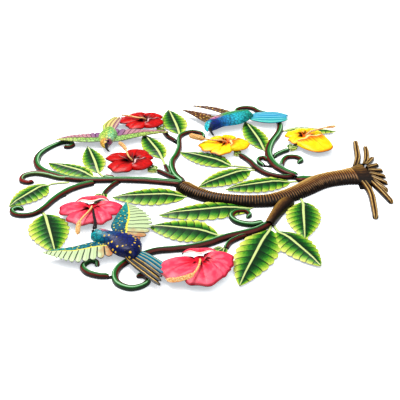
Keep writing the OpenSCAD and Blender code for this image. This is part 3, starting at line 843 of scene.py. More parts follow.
make_stem("right_curls", [
    ([(46, -140), (62, -144), (74, -153), (73, -168), (61, -175), (53, -167)], [9, 9, 8, 8, 8]),
    ([(46, -110), (58, -103), (70, -103), (74, -112), (66, -117)], [7, 7, 7, 7])],
    [((48, -139), (44, -129)), ((50, -110), (44, -128))], GREEN_STEM, False)
make_stem("branch_collar", [([(-4, -186), (-6, -172), (0, -160)], [10, 18, 22])],
          [((-18, -182), (0, -182))], GREEN_STEM)
make_stem("top_right_twig", [([(17, 140), (19, 149), (24, 158)], [10, 11, 11])],
          [((18, 145), (10, 132))], RED_TIP, False)

# %% [markdown]
# ## Leaves
# A leaf is one grid. Its rows follow the veins, which sweep forward from the midrib, so a notch in the
# edge, the engraved line that runs to it and the puffed cell between two lines all share one number.
# The same kind of blade, small and with few teeth, makes the sepals round each flower's foot.

# %% Leaf paint
TEETH = 9


def leaf_paint():
    """Dark green by the rib, yellow-green at the teeth, dark veins and a cream rib; one half is in shade."""
    paint = Paint("leaf_enamel", ENAMEL_COAT)
    out = paint.away(paint.v, 0.5) * 2.0
    phase = paint.cell(paint.u * TEETH)
    drag = paint.noise(paint.vector(paint.u * 9.0, paint.v * 4.0), 5.0, 3.0)
    flame = paint.step(phase, 0.9, 0.1) * 0.12
    shady = paint.step(paint.v, 0.44, 0.56) * 0.16
    tone = out - flame - shady + 0.06 + (drag - 0.5) * 0.4
    colour = paint.ramp(tone, [(0.0, (2, 42, 12)), (0.24, (6, 74, 18)), (0.42, (46, 128, 26)),
                               (0.58, (118, 174, 40)), (0.78, (192, 212, 74)), (0.97, (230, 232, 124))])
    vein = paint.step(paint.bands(paint.u * TEETH), 0.1, 0.04) * paint.step(out, 1.04, 0.9)
    colour = paint.mix(vein * 0.9, colour, (4, 30, 10))
    reach = paint.w * paint.ramp_value(paint.u, [(0.0, 1.0), (0.6, 1.25), (1.0, 2.4)])
    colour = paint.mix(paint.step(reach, 3.6, 2.4), colour, (10, 52, 24))
    colour = paint.mix(paint.step(reach, 2.3, 1.5), colour, (206, 224, 140))
    return paint.finish(colour, 0.25)


LEAF_PAINT = leaf_paint()

# %% Leaf blades
def blade(foot, base, tip, half_w, teeth=TEETH, low=SHEET, edge=LEAF_EDGE_H, dome=LEAF_RISE, spacing=0.9):
    """A leaf from its foot on the stem to its tip, toothed, veined and ridged."""
    foot, base, tip = [np.array(p, float) for p in (foot, base, tip)]
    rib = [foot, base, base + (tip - base) * 0.35, base + (tip - base) * 0.7, tip]
    line, along = evenly(curve(rib), spacing)
    stalk = np.linalg.norm(base - foot)
    s = (along - stalk) / (along[-1] - stalk)
    inside = np.clip(s, 0, 1)
    v = np.linspace(-1, 1, 31)
    v = np.sign(v) * np.abs(v) ** 0.85
    out = np.abs(v)[None]
    gate = np.clip(inside * 8, 0, 1) * np.clip((1 - inside) * 3.2, 0, 1)
    push = 0.3 * half_w * gate[:, None] * out ** 1.2
    there = np.clip(inside[:, None] + push / (along[-1] - stalk), 0, 1)
    reach = half_w * np.sin(math.pi * there ** 0.8) ** 0.8
    notch = np.abs(np.sin(math.pi * inside * teeth))[:, None] ** 0.55
    reach = reach * (1 - 0.16 * (1 - notch) * gate[:, None] * out ** 4)
    neck = TAB_W * 0.4 * np.clip((0.98 - s) * 10, 0.06, 1)
    reach = np.maximum(reach, neck[:, None])
    left = sides(line)
    run = np.stack([left[:, 1], -left[:, 0]], 1)
    grid = np.zeros((len(line), len(v), 3))
    grid[..., :2] = (line[:, None] + left[:, None] * (reach * v[None])[..., None]
                     + run[:, None] * push[..., None])
    rise = (dome * np.minimum(np.minimum(1, inside / 0.28), (1.12 - inside) / 0.3))[:, None]
    arch = (0.8 * (1 - out ** 1.5)) + 0.16 * bell(out * half_w, 1.6)
    cells = 0.55 * (notch - 0.8) * np.sin(math.pi * out) ** 0.8
    free = np.clip((along - 8) / 8, 0, 1)[:, None]
    hump = 2.0 * np.clip(-s * 20, 0, 1)[:, None] * (1 - out ** 2) * free
    height = edge * np.minimum(1, inside / 0.16)[:, None] + rise * arch + cells * gate[:, None] + hump
    grid[..., 2] = low + height
    place = np.zeros_like(grid)
    place[..., 0] = inside[:, None]
    place[..., 1] = (v[None] + 1) / 2
    place[..., 2] = out * reach
    return grid, place


LEAVES = [
    [(-84, 246), (-92, 238), (-203, 206), 31], [(11, 213), (3, 246), (-70, 296), 25],
    [(-44, 4), (-48, 22), (-50, 137), 28], [(-166, -50), (-165, -26), (-140, 76), 31],
    [(-74, -92), (-90, -78), (-109, 62), 27], [(-132, -107), (-155, -102), (-297, -50), 31],
    [(-132, -107), (-160, -114), (-257, -163), 26], [(-52, -152), (-76, -160), (-186, -150), 27],
    [(20, 153), (28, 175), (76, 256), 20], [(20, 153), (42, 167), (136, 195), 20],
    [(56, 56), (88, 62), (180, 98), 20], [(166, 32), (186, 33), (290, 55), 24],
    [(176, -149), (186, -160), (168, -250), 15], [(86, -123), (110, -116), (224, -89), 21],
    [(41, -96), (53, -56), (103, 31), 24], [(30, -103), (34, -86), (-23, 0), 26],
    [(-8, -166), (-10, -148), (-35, -42), 24]]

for number, (foot, base, tip, half_w) in enumerate(LEAVES, 1):
    piece = Piece(f"leaf_{number}")
    piece.sheet(*blade(foot, base, tip, half_w))
    settle(piece.build(LEAF_PAINT, BACKING), "leaf_paint", f"leaf_{number}")

# %% [markdown]
# ## Flower stalks
# A stalk is a slim stem that opens into a cup. Pointed sepals lie round the cup, under the petals.

# %% Stalks and sepals
def direction(degrees):
    return np.array([math.cos(math.radians(degrees)), math.sin(math.radians(degrees))])


def add_cup(piece, at, angle, length):
    """The flaring foot of a flower, with three sepals in leaf paint, which is slot 2."""
    at = np.array(at, float)
    ahead = direction(angle)
    add_stem(piece, [at, at + ahead * length / 2, at + ahead * length], [STALK_W, 13, 16], True,
             STEM_H - 1.5, 2, 0.8)
    for lean, size in ((-30, 1.1), (28, 1.1), (0, 1.0)):
        leaf, place = blade(at - ahead * 3, at + direction(angle + lean * 0.4) * 2,
                            at + direction(angle + lean) * size * length, 3 + 0.16 * length, 4,
                            SHEET + 4.2, 1.2, 1.6, 0.8)
        place[..., 2] *= 2.5
        piece.sheet(leaf, place, 0.9, 2)


def make_stalk(name, stems, cups, laps, paint=BROWN_STEM, widths=(STALK_W, STALK_W, STALK_W)):
    piece = Piece(name)
    for points in stems:
        add_stem(piece, points, list(widths))
    for cup in cups:
        add_cup(piece, *cup)
    for start, end in laps:
        piece.tab(start, end)
    settle(piece.build(paint, BACKING, LEAF_PAINT), "stem_paint", name)


make_stalk("pink_stalk_1", [[(1, 132), (-8, 139), (-24, 147), (-38, 152)]], [((-38, 152), 165, 18)],
           [((-1, 134), (10, 128))])
make_stalk("pink_stalk_2", [[(-173, -66), (-178, -56), (-190, -42), (-206, -35)]], [((-206, -35), 137, 18)],
           [((-174, -64), (-162, -72))])
make_stalk("red_stalk_1", [[(8, 38), (18, 48), (28, 58), (38, 68)], [(24, 48), (38, 51), (58, 56)]],
           [((38, 68), 63, 16)], [((12, 42), (2, 28)), ((30, 50), (16, 46))])
make_stalk("red_stalk_2", [[(152, 40), (168, 52), (184, 59), (198, 62)]], [((198, 62), 51, 12)],
           [((155, 43), (142, 33))])
make_stalk("yellow_stalk_2", [[(79, -130), (88, -138), (96, -148), (102, -158)]], [((102, -158), 317, 16)],
           [((82, -133), (72, -122))], GREEN_STEM)
make_stalk("right_middle_stem", [[(4, -152), (2, -138), (15, -114), (37, -98), (64, -87), (88, -72)]],
           [((88, -72), 35, 10)], [((3, -145), (-1, -166))], BROWN_STEM,
           (STEM_W - 3, STEM_W - 3, STEM_W - 2, STEM_W - 3, 9))

# %% [markdown]
# ## Flowers
# Each flower has five petals round a sunk eye. A petal is a fan of sheet, domed between the eye and its
# rim, with a waved rim and a crease down the middle. One side of every petal lies over its neighbour.
# The petal next to the stalk is folded back, and its pale inner edge stands up round the eye.

# %% Petal paint
PETAL_COAT = 0.04


def petal_paint(name, body, light, streak, rim, fold):
    """Streaks that fan out from the eye, painted shade at the seams where petals overlap, a darker rim, and a
    pale lip on the folded petal.
    """
    paint = Paint(name, PETAL_COAT)
    sway = paint.noise(paint.vector(paint.v * 3.0, paint.u * 2.0, paint.w * 7.0), 2.0, 3.0)
    fans = paint.noise(paint.vector(paint.v * 22.0, paint.u * 0.8, paint.w * 3.0), 1.0)
    crease = paint.away(paint.v, 0.5)
    colour = paint.mix(paint.step(sway, 0.42, 0.64), body, light)
    deep = paint.step(paint.u + (fans - 0.5) * 0.8, 0.5, 0.08)
    colour = paint.mix(deep, colour, streak)
    # Painted shade along the seams where one petal lies over its neighbour.
    petal_overlap_shade = paint.step(crease * 2.0, 0.86, 0.97) * paint.step(paint.w, 0.6, 0.5)
    colour = paint.mix(petal_overlap_shade, colour, dimmed(streak, 0.5))
    colour = paint.mix(paint.step(paint.u, 0.91, 0.97) * 0.9, colour, rim)
    line = paint.step(crease, 0.016, 0.004) * paint.step(paint.u, 0.9, 0.6) * 0.7
    colour = paint.mix(line, colour, streak)
    lip = paint.step(paint.w, 0.5, 0.6) * paint.step(paint.u + (sway - 0.5) * 0.1, 0.14, 0.07)
    return paint.finish(paint.mix(lip, colour, fold), 0.2)


PINK = petal_paint("pink_petal_enamel", (242, 56, 88), (252, 98, 122), (216, 10, 40), (150, 4, 26),
                   (255, 226, 216))
RED = petal_paint("red_petal_enamel", (186, 0, 0), (214, 2, 2), (84, 0, 4), (70, 0, 4),
                  (250, 200, 200))
YELLOW = petal_paint("yellow_petal_enamel", (255, 214, 0), (255, 240, 30), (236, 96, 14), (206, 104, 0),
                     (255, 232, 150))

# %% Petals
OVERLAP = 1.55


def add_petal(piece, eye, turn, reach, half, number):
    """An open petal: a fan from the eye, half degrees to each side and on under its neighbours."""
    share = np.linspace(0, 1, 30)[:, None]
    off = np.linspace(-OVERLAP, OVERLAP, 37)[None]
    span = reach * np.clip(1 - np.abs(off / 1.6) ** 2.6, 0, 1) ** 0.5
    wave = np.cos(off * 6.5 + number * 2.0)
    distance = 6.5 + (np.maximum(span * (1 - 0.025 * (1 + wave)), 10.5) - 6.5) * share
    angle = math.radians(turn) + off * math.radians(half)
    height = np.interp(share, [0, 0.2, 0.42, 0.6, 0.75, 0.9, 1], [0.2, 0.56, 0.8, 0.82, 0.68, 0.4, 0.08])
    height = PETAL_RISE * height + 1.1 * off / OVERLAP + 0.5 * wave * share ** 3
    height = height - 1.0 * bell(off, 0.1) * np.sin(math.pi * share) ** 0.7
    add_panel(piece, eye, distance * np.cos(angle), distance * np.sin(angle), height, share,
              off / OVERLAP, number * 0.08)


def add_fold(piece, eye, turn, reach, wide):
    """The folded petal: a band across the flower whose inner edge stands up in a wave."""
    share = np.linspace(0, 1, 30)[:, None]
    off = np.linspace(-1, 1, 37)[None]
    near = 9.0 - 2.4 * np.cos(off * 6.4) + 7.0 * off ** 2
    far = near + (reach - near) * np.clip(1 - np.abs(off) ** 3, 0.02, 1) ** 0.5
    ahead = near + (far - near) * share
    sideways = off * wide * (0.86 + 0.14 * share)
    height = PETAL_RISE * np.interp(share, [0, 0.08, 0.3, 0.6, 0.85, 1], [0.9, 1.06, 0.96, 0.82, 0.5, 0.1])
    height = height + 0.4 * np.cos(off * 9) * (1 - share) - 2.0 * np.abs(off) ** 4
    c, s = direction(turn)
    add_panel(piece, eye, ahead * c - sideways * s, ahead * s + sideways * c, height, share, off, 1.0)


def add_panel(piece, eye, x, y, height, share, off, number):
    """Adds a petal's grid; its paint gets the share from the eye, the place across and a number."""
    grid = np.stack([eye[0] + x, eye[1] + y, PETAL_Z + SHEET + height + 0 * x], -1)
    place = np.zeros_like(grid)
    place[..., 0] = share
    place[..., 1] = (off + 1) / 2
    place[..., 2] = number
    piece.sheet(grid, place)


def add_eye(piece, eye):
    """The sunk disc where the pistil is welded."""
    share, turn = np.linspace(0.02, 1, 6)[:, None], np.linspace(0, 2 * math.pi, 33)[None]
    grid = np.zeros((6, 33, 3))
    grid[..., 0] = eye[0] + 10 * share * np.cos(turn)
    grid[..., 1] = eye[1] + 10 * share * np.sin(turn)
    grid[..., 2] = PETAL_Z + SHEET + PETAL_RISE * (0.12 + 0.1 * share)
    place = np.zeros_like(grid)
    place[..., 0] = share * 0.06
    place[..., 1] = 0.25
    piece.sheet(grid, place)


def add_tongue(piece, eye, angle, reach):
    """The strip that runs from the flower's foot down under the stalk's cup."""
    ahead, side = direction(angle), direction(angle + 90) * TAB_W / 2
    rows = [(12, PETAL_Z + SHEET), (19, PETAL_Z + SHEET - 0.6), (max(reach, 24), SHEET)]
    front = np.array([[[*(np.array(eye) + ahead * d + side * k), z] for k in (1, 0, -1)]
                      for d, z in rows])
    piece.sheet(front, np.full_like(front, 0.3), SHEET, 2)


def make_flower(name, slot, paint, eye, tongue, reach, lobes):
    piece = Piece(name)
    *petals, fold = lobes
    for number, petal in enumerate(petals):
        add_petal(piece, eye, *petal, number)
    add_fold(piece, eye, *fold)
    add_eye(piece, eye)
    add_tongue(piece, eye, tongue, reach)
    settle(piece.build(paint, BACKING, LEAF_PAINT), slot, name)


make_flower("pink_flower_1", "pink_petal_paint", PINK, (-92, 164), -13, 50,
            [(96, 52, 30), (160, 54, 34), (204, 54, 24), (258, 48, 30), (5, 36, 27)])
make_flower("pink_flower_2", "pink_petal_paint", PINK, (-245, 1), -43, 48,
            [(124, 64, 34), (186, 62, 30), (222, 52, 24), (264, 48, 32), (0, 30, 26)])
make_flower("red_flower_1", "red_petal_paint", RED, (60, 111), 243, 44,
            [(60, 50, 28), (138, 48, 36), (-12, 48, 30), (-62, 38, 24), (230, 38, 22)])
make_flower("red_flower_2", "red_petal_paint", RED, (225, 95), 231, 38,
            [(82, 52, 28), (138, 45, 32), (36, 46, 28), (-38, 38, 36), (226, 36, 22)])
make_flower("yellow_flower_1", "yellow_petal_paint", YELLOW, (120, -50), 215, 35,
            [(110, 51, 32), (160, 48, 28), (48, 36, 28), (-16, 33, 30), (246, 42, 23)])
make_flower("yellow_flower_2", "yellow_petal_paint", YELLOW, (137, -191), 137, 44,
            [(70, 38, 32), (130, 37, 32), (15, 34, 30), (-48, 36, 32), (205, 66, 30)])

# %% [markdown]
# ## Pistils
# A pistil is a bowed rod from the eye. Its end is thick with anthers, which are small grains scattered
# over that end by Geometry Nodes with a fixed seed.

# %% Rods
def tube(piece, path, radii, slot=0, count=12):
    """A round rod along a path of 3-D points, closed by shrinking at both ends."""
    run = np.gradient(path, axis=0)
    run /= np.linalg.norm(run, axis=1)[:, None]
    side = np.cross(run, [0, 0, 1.0])
    side /= np.maximum(np.linalg.norm(side, axis=1), 1e-6)[:, None]
    up = np.cross(side, run)
    turn = np.linspace(0, 2 * math.pi, count, endpoint=False)
    rings = path[:, None] + radii[:, None, None] * (side[:, None] * np.cos(turn)[None, :, None]
                                                    + up[:, None] * np.sin(turn)[None, :, None])
    n = len(path)
    ids = np.arange(n * count).reshape(n, count)
    after = np.roll(ids, -1, axis=1)
    quads = np.stack([ids[:-1], after[:-1], after[1:], ids[1:]], -1).reshape(-1, 4).tolist()
    caps = [ids[0, ::-1].tolist(), ids[-1].tolist()]
    place = np.zeros((n, count, 3))
    place[..., 0] = np.linspace(0, 1, n)[:, None]
    place[..., 1] = (np.sin(turn)[None] + 1) / 2
    piece.add(rings.reshape(-1, 3), quads + caps, [slot] * (len(quads) + 2), place.reshape(-1, 3))


def pistil_paint():
    paint = Paint("pistil_enamel", ENAMEL_COAT)
    cloud = paint.noise(paint.spot, 700.0)
    colour = paint.ramp(cloud, [(0.3, (232, 128, 40)), (0.45, (252, 190, 110)), (0.65, (255, 226, 168))])
    # Painted shade: the underside of each rod turns a darker orange.
    edge = paint.step(paint.v, 0.4, 0.1)
    return paint.finish(paint.mix(edge * 0.8, colour, (196, 84, 24)), 0.2)


PISTIL = pistil_paint()


GRAIN_RADIUS = 0.0011
GRAIN_DENSITY = 500000.0
GRAIN_SEED = 7


def grain_tree():
    """Round grains scattered over a surface."""
    tree, given, out = tree_with("grains", ("Density", "NodeSocketFloat"),
                                 ("Grain radius", "NodeSocketFloat"), ("Seed", "NodeSocketInt"),
                                 ("Paint", "NodeSocketMaterial"))
    spots = joined(tree, "GeometryNodeDistributePointsOnFaces", {"distribute_method": "POISSON"},
                   {"Mesh": given.outputs[0], "Density Max": given.outputs["Density"],
                    "Seed": given.outputs["Seed"], "Distance Min": GRAIN_RADIUS})
    ball = joined(tree, "GeometryNodeMeshIcoSphere", None,
                  {"Radius": given.outputs["Grain radius"], "Subdivisions": 2})
    copies = joined(tree, "GeometryNodeInstanceOnPoints", None,
                    {"Points": spots.outputs["Points"], "Instance": ball.outputs[0]})
    return finished(tree, copies, given, out)


GRAINS = grain_tree()


def make_pistils(name, paint, rods):
    """Rods with clubs of grains; a rod is its points, how fat its club is and where the club starts."""
    piece = Piece(name)
    clubs = []
    eye = PETAL_Z + SHEET + 0.2 * PETAL_RISE
    for points, club, begin in rods:
        line, along = evenly(curve(points), 1.2)
        f = along / along[-1]
        height = eye + (PETAL_RISE + 4) * (0.66 * np.minimum(1, f / 0.18) ** 0.6 + 0.32 * f)
        path = np.column_stack([line, height])
        radii = 1.5 + 0.7 * club * np.clip((f - begin) * 12, 0, 1)
        radii = radii * np.clip((1.0 - f) * 14 + 0.3, 0.3, 1)
        tube(piece, path, radii)
        chosen = f > begin
        part = Piece("club")
        tube(part, path[chosen], radii[chosen])
        clubs.append(part)
    whole = piece.build(paint, BACKING)
    heaps = []
    for number, part in enumerate(clubs):
        carrier = part.build(paint)
        heaps.append(grown(carrier, GRAINS, Density=GRAIN_DENSITY, Grain_radius=GRAIN_RADIUS,
                           Seed=GRAIN_SEED + number, Paint=paint))
    settle(merged(whole, *heaps), "pistil_paint", name)


make_pistils("pink_pistils", PISTIL, [
    ([(-92, 164), (-108, 163), (-121, 166), (-134, 171), (-148, 175), (-166, 176), (-186, 174)], 1.7, 0.62),
    ([(-245, 1), (-259, 1), (-276, 4), (-292, 11), (-300, 20), (-305, 32), (-306, 45)], 1.5, 0.55)])
make_pistils("red_pistils", PISTIL, [
    ([(60, 111), (64, 117), (73, 120), (85, 123), (100, 129), (110, 136)], 1.6, 0.5),
    ([(225, 95), (219, 103), (220, 113), (226, 127), (228, 140)], 0.0, 0.95)])
make_pistils("yellow_pistils", PISTIL, [
    ([(120, -50), (114, -36), (116, -20), (121, -6), (126, 5), (131, 14)], 3.6, 0.6),
    ([(137, -191), (141, -204), (147, -218), (150, -232), (152, -246)], 0.6, 0.7)])

# %% [markdown]
# ## Birds
# Each bird has a domed body, two wings and a tail. A wing is one sheet between two edges. Its coverts
# are a raised layer along one edge and its quills end in notches along the other. A tail is the same
# sheet with its feathers running lengthwise. The scales and gold dots are brushwork, so they are paint.

# %% Bird forms
SHELL_TIP = 0.3
FEATHER_RISE = 2.8
COVERT_SHARE = 0.4
QUILL_SWEEP = 0.1
EDGE_POINTS = 400


def shell(piece, points, widths, low, rise, slot=0):
    """A dome along a line, wide where the widths say."""
    line, along = evenly(curve(points), 1.3)
    share = along / along[-1]
    table = curve(widths)
    half = np.interp(share, np.linspace(0, 1, len(table)), table) / 2
    near = np.minimum(along, along[-1] - along)
    half = half * (np.sqrt(np.clip(near / np.maximum(half, 1), 0, 1)) * (1 - SHELL_TIP) + SHELL_TIP)
    turn = np.linspace(0, math.pi, 29)
    left = sides(line)
    grid = np.zeros((len(line), 29, 3))
    grid[..., :2] = line[:, None] + left[:, None] * (np.cos(turn)[None, :, None] * half[:, None, None])
    grid[..., 2] = low + np.minimum(rise, 1.1 * half)[:, None] * (np.sin(turn) ** 0.85)[None] + 0.02
    place = np.zeros_like(grid)
    place[..., 0] = share[:, None]
    place[..., 1] = (np.cos(turn)[None] + 1) / 2
    place[..., 2] = along[:, None]
    piece.sheet(grid, place, min(SHEET, rise / 3), slot)


def even_edge(points):
    """An edge as EDGE_POINTS places at equal spacing."""
    line = curve(points, 16)
    line = evenly(line, np.linalg.norm(np.diff(line, axis=0), axis=1).sum() / EDGE_POINTS)[0]
    spots = np.linspace(0, 1, EDGE_POINTS)
    return np.stack([np.interp(spots, np.linspace(0, 1, len(line)), line[:, k]) for k in range(2)], 1)


def plumage(piece, edge_a, edge_b, count, lengthwise=False):
    """A wing with its quill tips along edge_b, or a tail with its tips at the far end."""
    rows = count * 9 + 1
    columns = 33
    first, second = even_edge(edge_a), even_edge(edge_b)
    u = np.linspace(0, 1, rows)[:, None] + np.zeros((1, columns))
    v = np.zeros((rows, 1)) + np.linspace(0, 1, columns)[None]
    phase = (v if lengthwise else u) * count
    lobe = np.abs(np.sin(math.pi * phase)) ** 0.6
    if lengthwise:
        at_u, at_v = u * (1 - 0.14 * (1 - lobe) * u ** 4), v
        quill = np.clip(u * 1.6, 0, 1)
    else:
        at_u = np.clip(u + QUILL_SWEEP * v * u * (1 - u) * 4, 0, 1)
        at_v = v * (1 - 0.16 * (1 - lobe) * np.clip((v - COVERT_SHARE) * 3, 0, 1))
        quill = np.clip((v - COVERT_SHARE) * 6, 0, 1)
    grid = np.zeros((rows, columns, 3))
    spots = np.linspace(0, 1, EDGE_POINTS)
    for k in range(2):
        a = np.interp(at_u, spots, first[:, k])
        b = np.interp(at_u, spots, second[:, k])
        grid[..., k] = a + (b - a) * at_v
    dome = np.sin(math.pi * (0.08 + 0.84 * u)) * np.sin(math.pi * np.clip(at_v, 0, 1)) ** 0.8
    layer = 0 if lengthwise else 0.9 * (1 - quill) * np.clip(v * 12, 0, 1) * np.clip((1 - u) * 8, 0, 1)
    grid[..., 2] = WING_Z + FEATHER_RISE * dome + 0.9 * (lobe - 0.3) * quill * dome ** 0.3 + layer
    piece.sheet(grid, np.stack([u, v, phase], -1))


def ball(piece, centre, radius, slot):
    x, y, z = centre
    t = np.linspace(0, math.pi, 9)
    path = np.column_stack([np.full(9, x), y - radius * np.cos(t), np.full(9, z)])
    tube(piece, path, np.maximum(radius * np.sin(t), 0.05), slot, 14)


# %% Bird paint
BIRD_COAT = 0.048
WING_COAT = 0.04


def dots(paint, colour, tint, spacing, size, limit):
    """Round dabs of tint where limit is 1."""
    cells = paint.node("ShaderNodeTexVoronoi", {"feature": "F1", "distance": "EUCLIDEAN"},
                       {"Vector": paint.spot, "Scale": 1000.0 / spacing, "Randomness": 0.7}, "Distance")
    return paint.mix(paint.step(cells, size, size * 0.7) * limit, colour, tint)


def scales(paint, colour, spacing, tint):
    """The dark edges of small overlapping feathers."""
    cells = paint.node("ShaderNodeTexVoronoi", {"feature": "DISTANCE_TO_EDGE"},
                       {"Vector": paint.spot, "Scale": 1000.0 / spacing}, "Distance")
    return paint.mix(paint.step(cells, 0.14, 0.03) * 0.7, colour, tint)


def body_paint(name, right, left, dark, dot=None, reach=(1.0, 0.9)):
    """Colours along the bird for its right and its left flank, with scales, and dots up to reach."""
    paint = Paint(name, BIRD_COAT)
    cloud = paint.noise(paint.spot, 120.0, 3.0)
    along = paint.u + (cloud - 0.5) * 0.1
    flank = paint.step(paint.v + (cloud - 0.5) * 0.3, 0.4, 0.6)
    colour = paint.mix(flank, paint.ramp(along, right), paint.ramp(along, left))
    colour = scales(paint, colour, 6.0, dark)
    if dot:
        colour = dots(paint, colour, dot, 6.5, 0.3, paint.step(paint.u, *reach))
    return paint.finish(colour, 0.3)


def wing_paint(name, covert, quill, inner, line, dot, arc, share=0.4):
    """Dotted coverts, an arc, then pale quills parted by dark lines and warmer near the body."""
    paint = Paint(name, WING_COAT)
    cloud = paint.noise(paint.spot, 110.0, 3.0)
    upper = paint.ramp(paint.u + (cloud - 0.5) * 0.5, covert)
    upper = scales(paint, upper, 5.0, line)
    upper = dots(paint, upper, dot, 6.0, 0.24, 1.0)
    lower = paint.mix(paint.step(paint.u + (cloud - 0.5) * 0.2, 0.26, 0.08), quill, inner)
    lower = paint.mix(paint.step(paint.bands(paint.w), 0.4, 0.5) * 0.5, lower, dimmed(quill, 0.75))
    lower = paint.mix(paint.step(paint.bands(paint.w), 0.14, 0.05), lower, line)
    border = paint.v + (paint.noise(paint.vector(paint.u * 4.0, 0.0), 3.0) - 0.5) * 0.06
    colour = paint.mix(paint.step(border, share - 0.01, share + 0.01), upper, lower)
    colour = paint.mix(paint.step(paint.away(border, share), 0.03, 0.02), colour, arc)
    rim = paint.step(paint.away(paint.v, 0.5), 0.47, 0.49)
    return paint.finish(paint.mix(rim * 0.6, colour, line), 0.25)


def tail_paint(name, across, line, shaft):
    """Lengthwise feathers whose colour changes across the tail, each with a fine bright shaft."""
    paint = Paint(name, WING_COAT)
    cloud = paint.noise(paint.spot, 110.0, 3.0)
    colour = paint.ramp(paint.v + (cloud - 0.5) * 0.2, across)
    hairs = paint.noise(paint.vector(paint.w * 3.0, paint.u * 1.2), 4.0, 3.0)
    colour = paint.mix(paint.step(hairs, 0.5, 0.64) * 0.45, colour, line)
    bright = paint.step(paint.bands(paint.w), 0.4, 0.46) * paint.step(paint.u, 1.0, 0.8)
    colour = paint.mix(bright, colour, shaft)
    colour = paint.mix(paint.step(paint.bands(paint.w), 0.13, 0.05), colour, line)
    return paint.finish(colour, 0.25)


def plain_paint(name, dark, light):
    paint = Paint(name, BIRD_COAT)
    cloud = paint.noise(paint.spot, 90.0, 3.0)
    return paint.finish(paint.ramp(cloud, [(0.3, dark), (0.75, light)]), 0.2)


BEAK = plain_paint("beak_enamel", (8, 8, 10), (40, 36, 40))
EYE = plain_paint("eye_enamel", (2, 2, 2), (16, 12, 12))
GOLD = (250, 206, 50)
BLUE_BODY = body_paint(
    "blue_body_enamel",
    [(0.0, (10, 24, 84)), (0.5, (14, 34, 120)), (0.7, (14, 90, 140)), (0.8, (230, 120, 140)),
     (0.88, (36, 178, 184))],
    [(0.0, (8, 18, 66)), (0.5, (12, 30, 104)), (0.68, (12, 84, 130)), (0.8, (26, 160, 170)),
     (0.95, (30, 190, 196))],
    (4, 8, 34), GOLD, (0.74, 0.68))
BLUE_WING = wing_paint(
    "blue_wing_enamel", [(0.1, (12, 50, 96)), (0.35, (10, 120, 140)), (0.8, (30, 160, 150))],
    (200, 222, 168), (194, 122, 74), (4, 30, 32), (236, 222, 70), (240, 226, 80))
BLUE_TAIL = tail_paint(
    "blue_tail_enamel",
    [(0.1, (8, 150, 172)), (0.48, (14, 116, 150)), (0.62, (34, 28, 22)), (0.9, (16, 14, 14))],
    (8, 20, 34), (236, 186, 70))
GREEN_BODY = body_paint(
    "green_body_enamel",
    [(0.02, (120, 46, 110)), (0.24, (150, 56, 96)), (0.36, (160, 220, 170)), (0.7, (120, 200, 120)),
     (1.0, (150, 200, 90))],
    [(0.02, (246, 206, 80)), (0.2, (240, 150, 60)), (0.34, (190, 214, 90)), (0.7, (150, 200, 80)),
     (1.0, (190, 206, 90))],
    (60, 96, 40), (250, 236, 120), (1.0, 0.4))
GREEN_WING = wing_paint(
    "green_wing_enamel", [(0.1, (150, 206, 110)), (0.5, (170, 210, 96)), (0.9, (206, 214, 110))],
    (196, 140, 150), (140, 96, 140), (60, 24, 46), (50, 100, 40), (110, 70, 80), 0.36)
GREEN_TAIL = tail_paint(
    "green_tail_enamel", [(0.1, (180, 206, 90)), (0.5, (220, 196, 110)), (0.9, (176, 120, 150))],
    (96, 50, 70), (240, 230, 150))
SEA_BODY = body_paint(
    "turquoise_body_enamel",
    [(0.1, (40, 140, 60)), (0.5, (70, 170, 60)), (0.68, (230, 120, 160)), (0.78, (20, 60, 150)),
     (0.88, (40, 214, 228))],
    [(0.1, (30, 170, 150)), (0.35, (40, 190, 210)), (0.6, (24, 120, 190)), (0.75, (16, 44, 130)),
     (0.95, (14, 30, 100))],
    (8, 50, 60))
SEA_WING = wing_paint(
    "turquoise_wing_enamel", [(0.1, (90, 90, 40)), (0.4, (104, 56, 26)), (0.9, (84, 44, 28))],
    (120, 66, 40), (90, 110, 50), (44, 22, 14), (246, 200, 90), (210, 170, 130), 0.62)
SEA_TAIL = tail_paint(
    "turquoise_tail_enamel", [(0.1, (70, 190, 200)), (0.5, (50, 170, 214)), (0.9, (60, 196, 170))],
    (20, 84, 160), (150, 224, 236))


# %% Build the birds
BEAK_WIDTHS = [7, 5, 4, 3]
BEAK_RISE = 4
EYE_RADIUS = 2.0


def make_bird(name, slot, body, beak, beak_z, eye, wings, tail, counts, paints):
    """Body, wings and tail of one bird, each in place of its own node."""
    coat, wing, rump = paints
    piece = Piece(f"{name}_body")
    shell(piece, body[0], body[1], WING_Z, body[2])
    shell(piece, beak, BEAK_WIDTHS, WING_Z + beak_z, BEAK_RISE, 2)
    ball(piece, eye, EYE_RADIUS, 3)
    settle(piece.build(coat, BACKING, BEAK, EYE), slot, f"{name}_body")
    piece = Piece(f"{name}_wings")
    for edge_a, edge_b in wings:
        plumage(piece, edge_a, edge_b, counts[0])
    settle(piece.build(wing, BACKING), slot, f"{name}_wings")
    piece = Piece(f"{name}_tail")
    plumage(piece, *tail, counts[1], True)
    settle(piece.build(rump, BACKING), slot, f"{name}_tail")


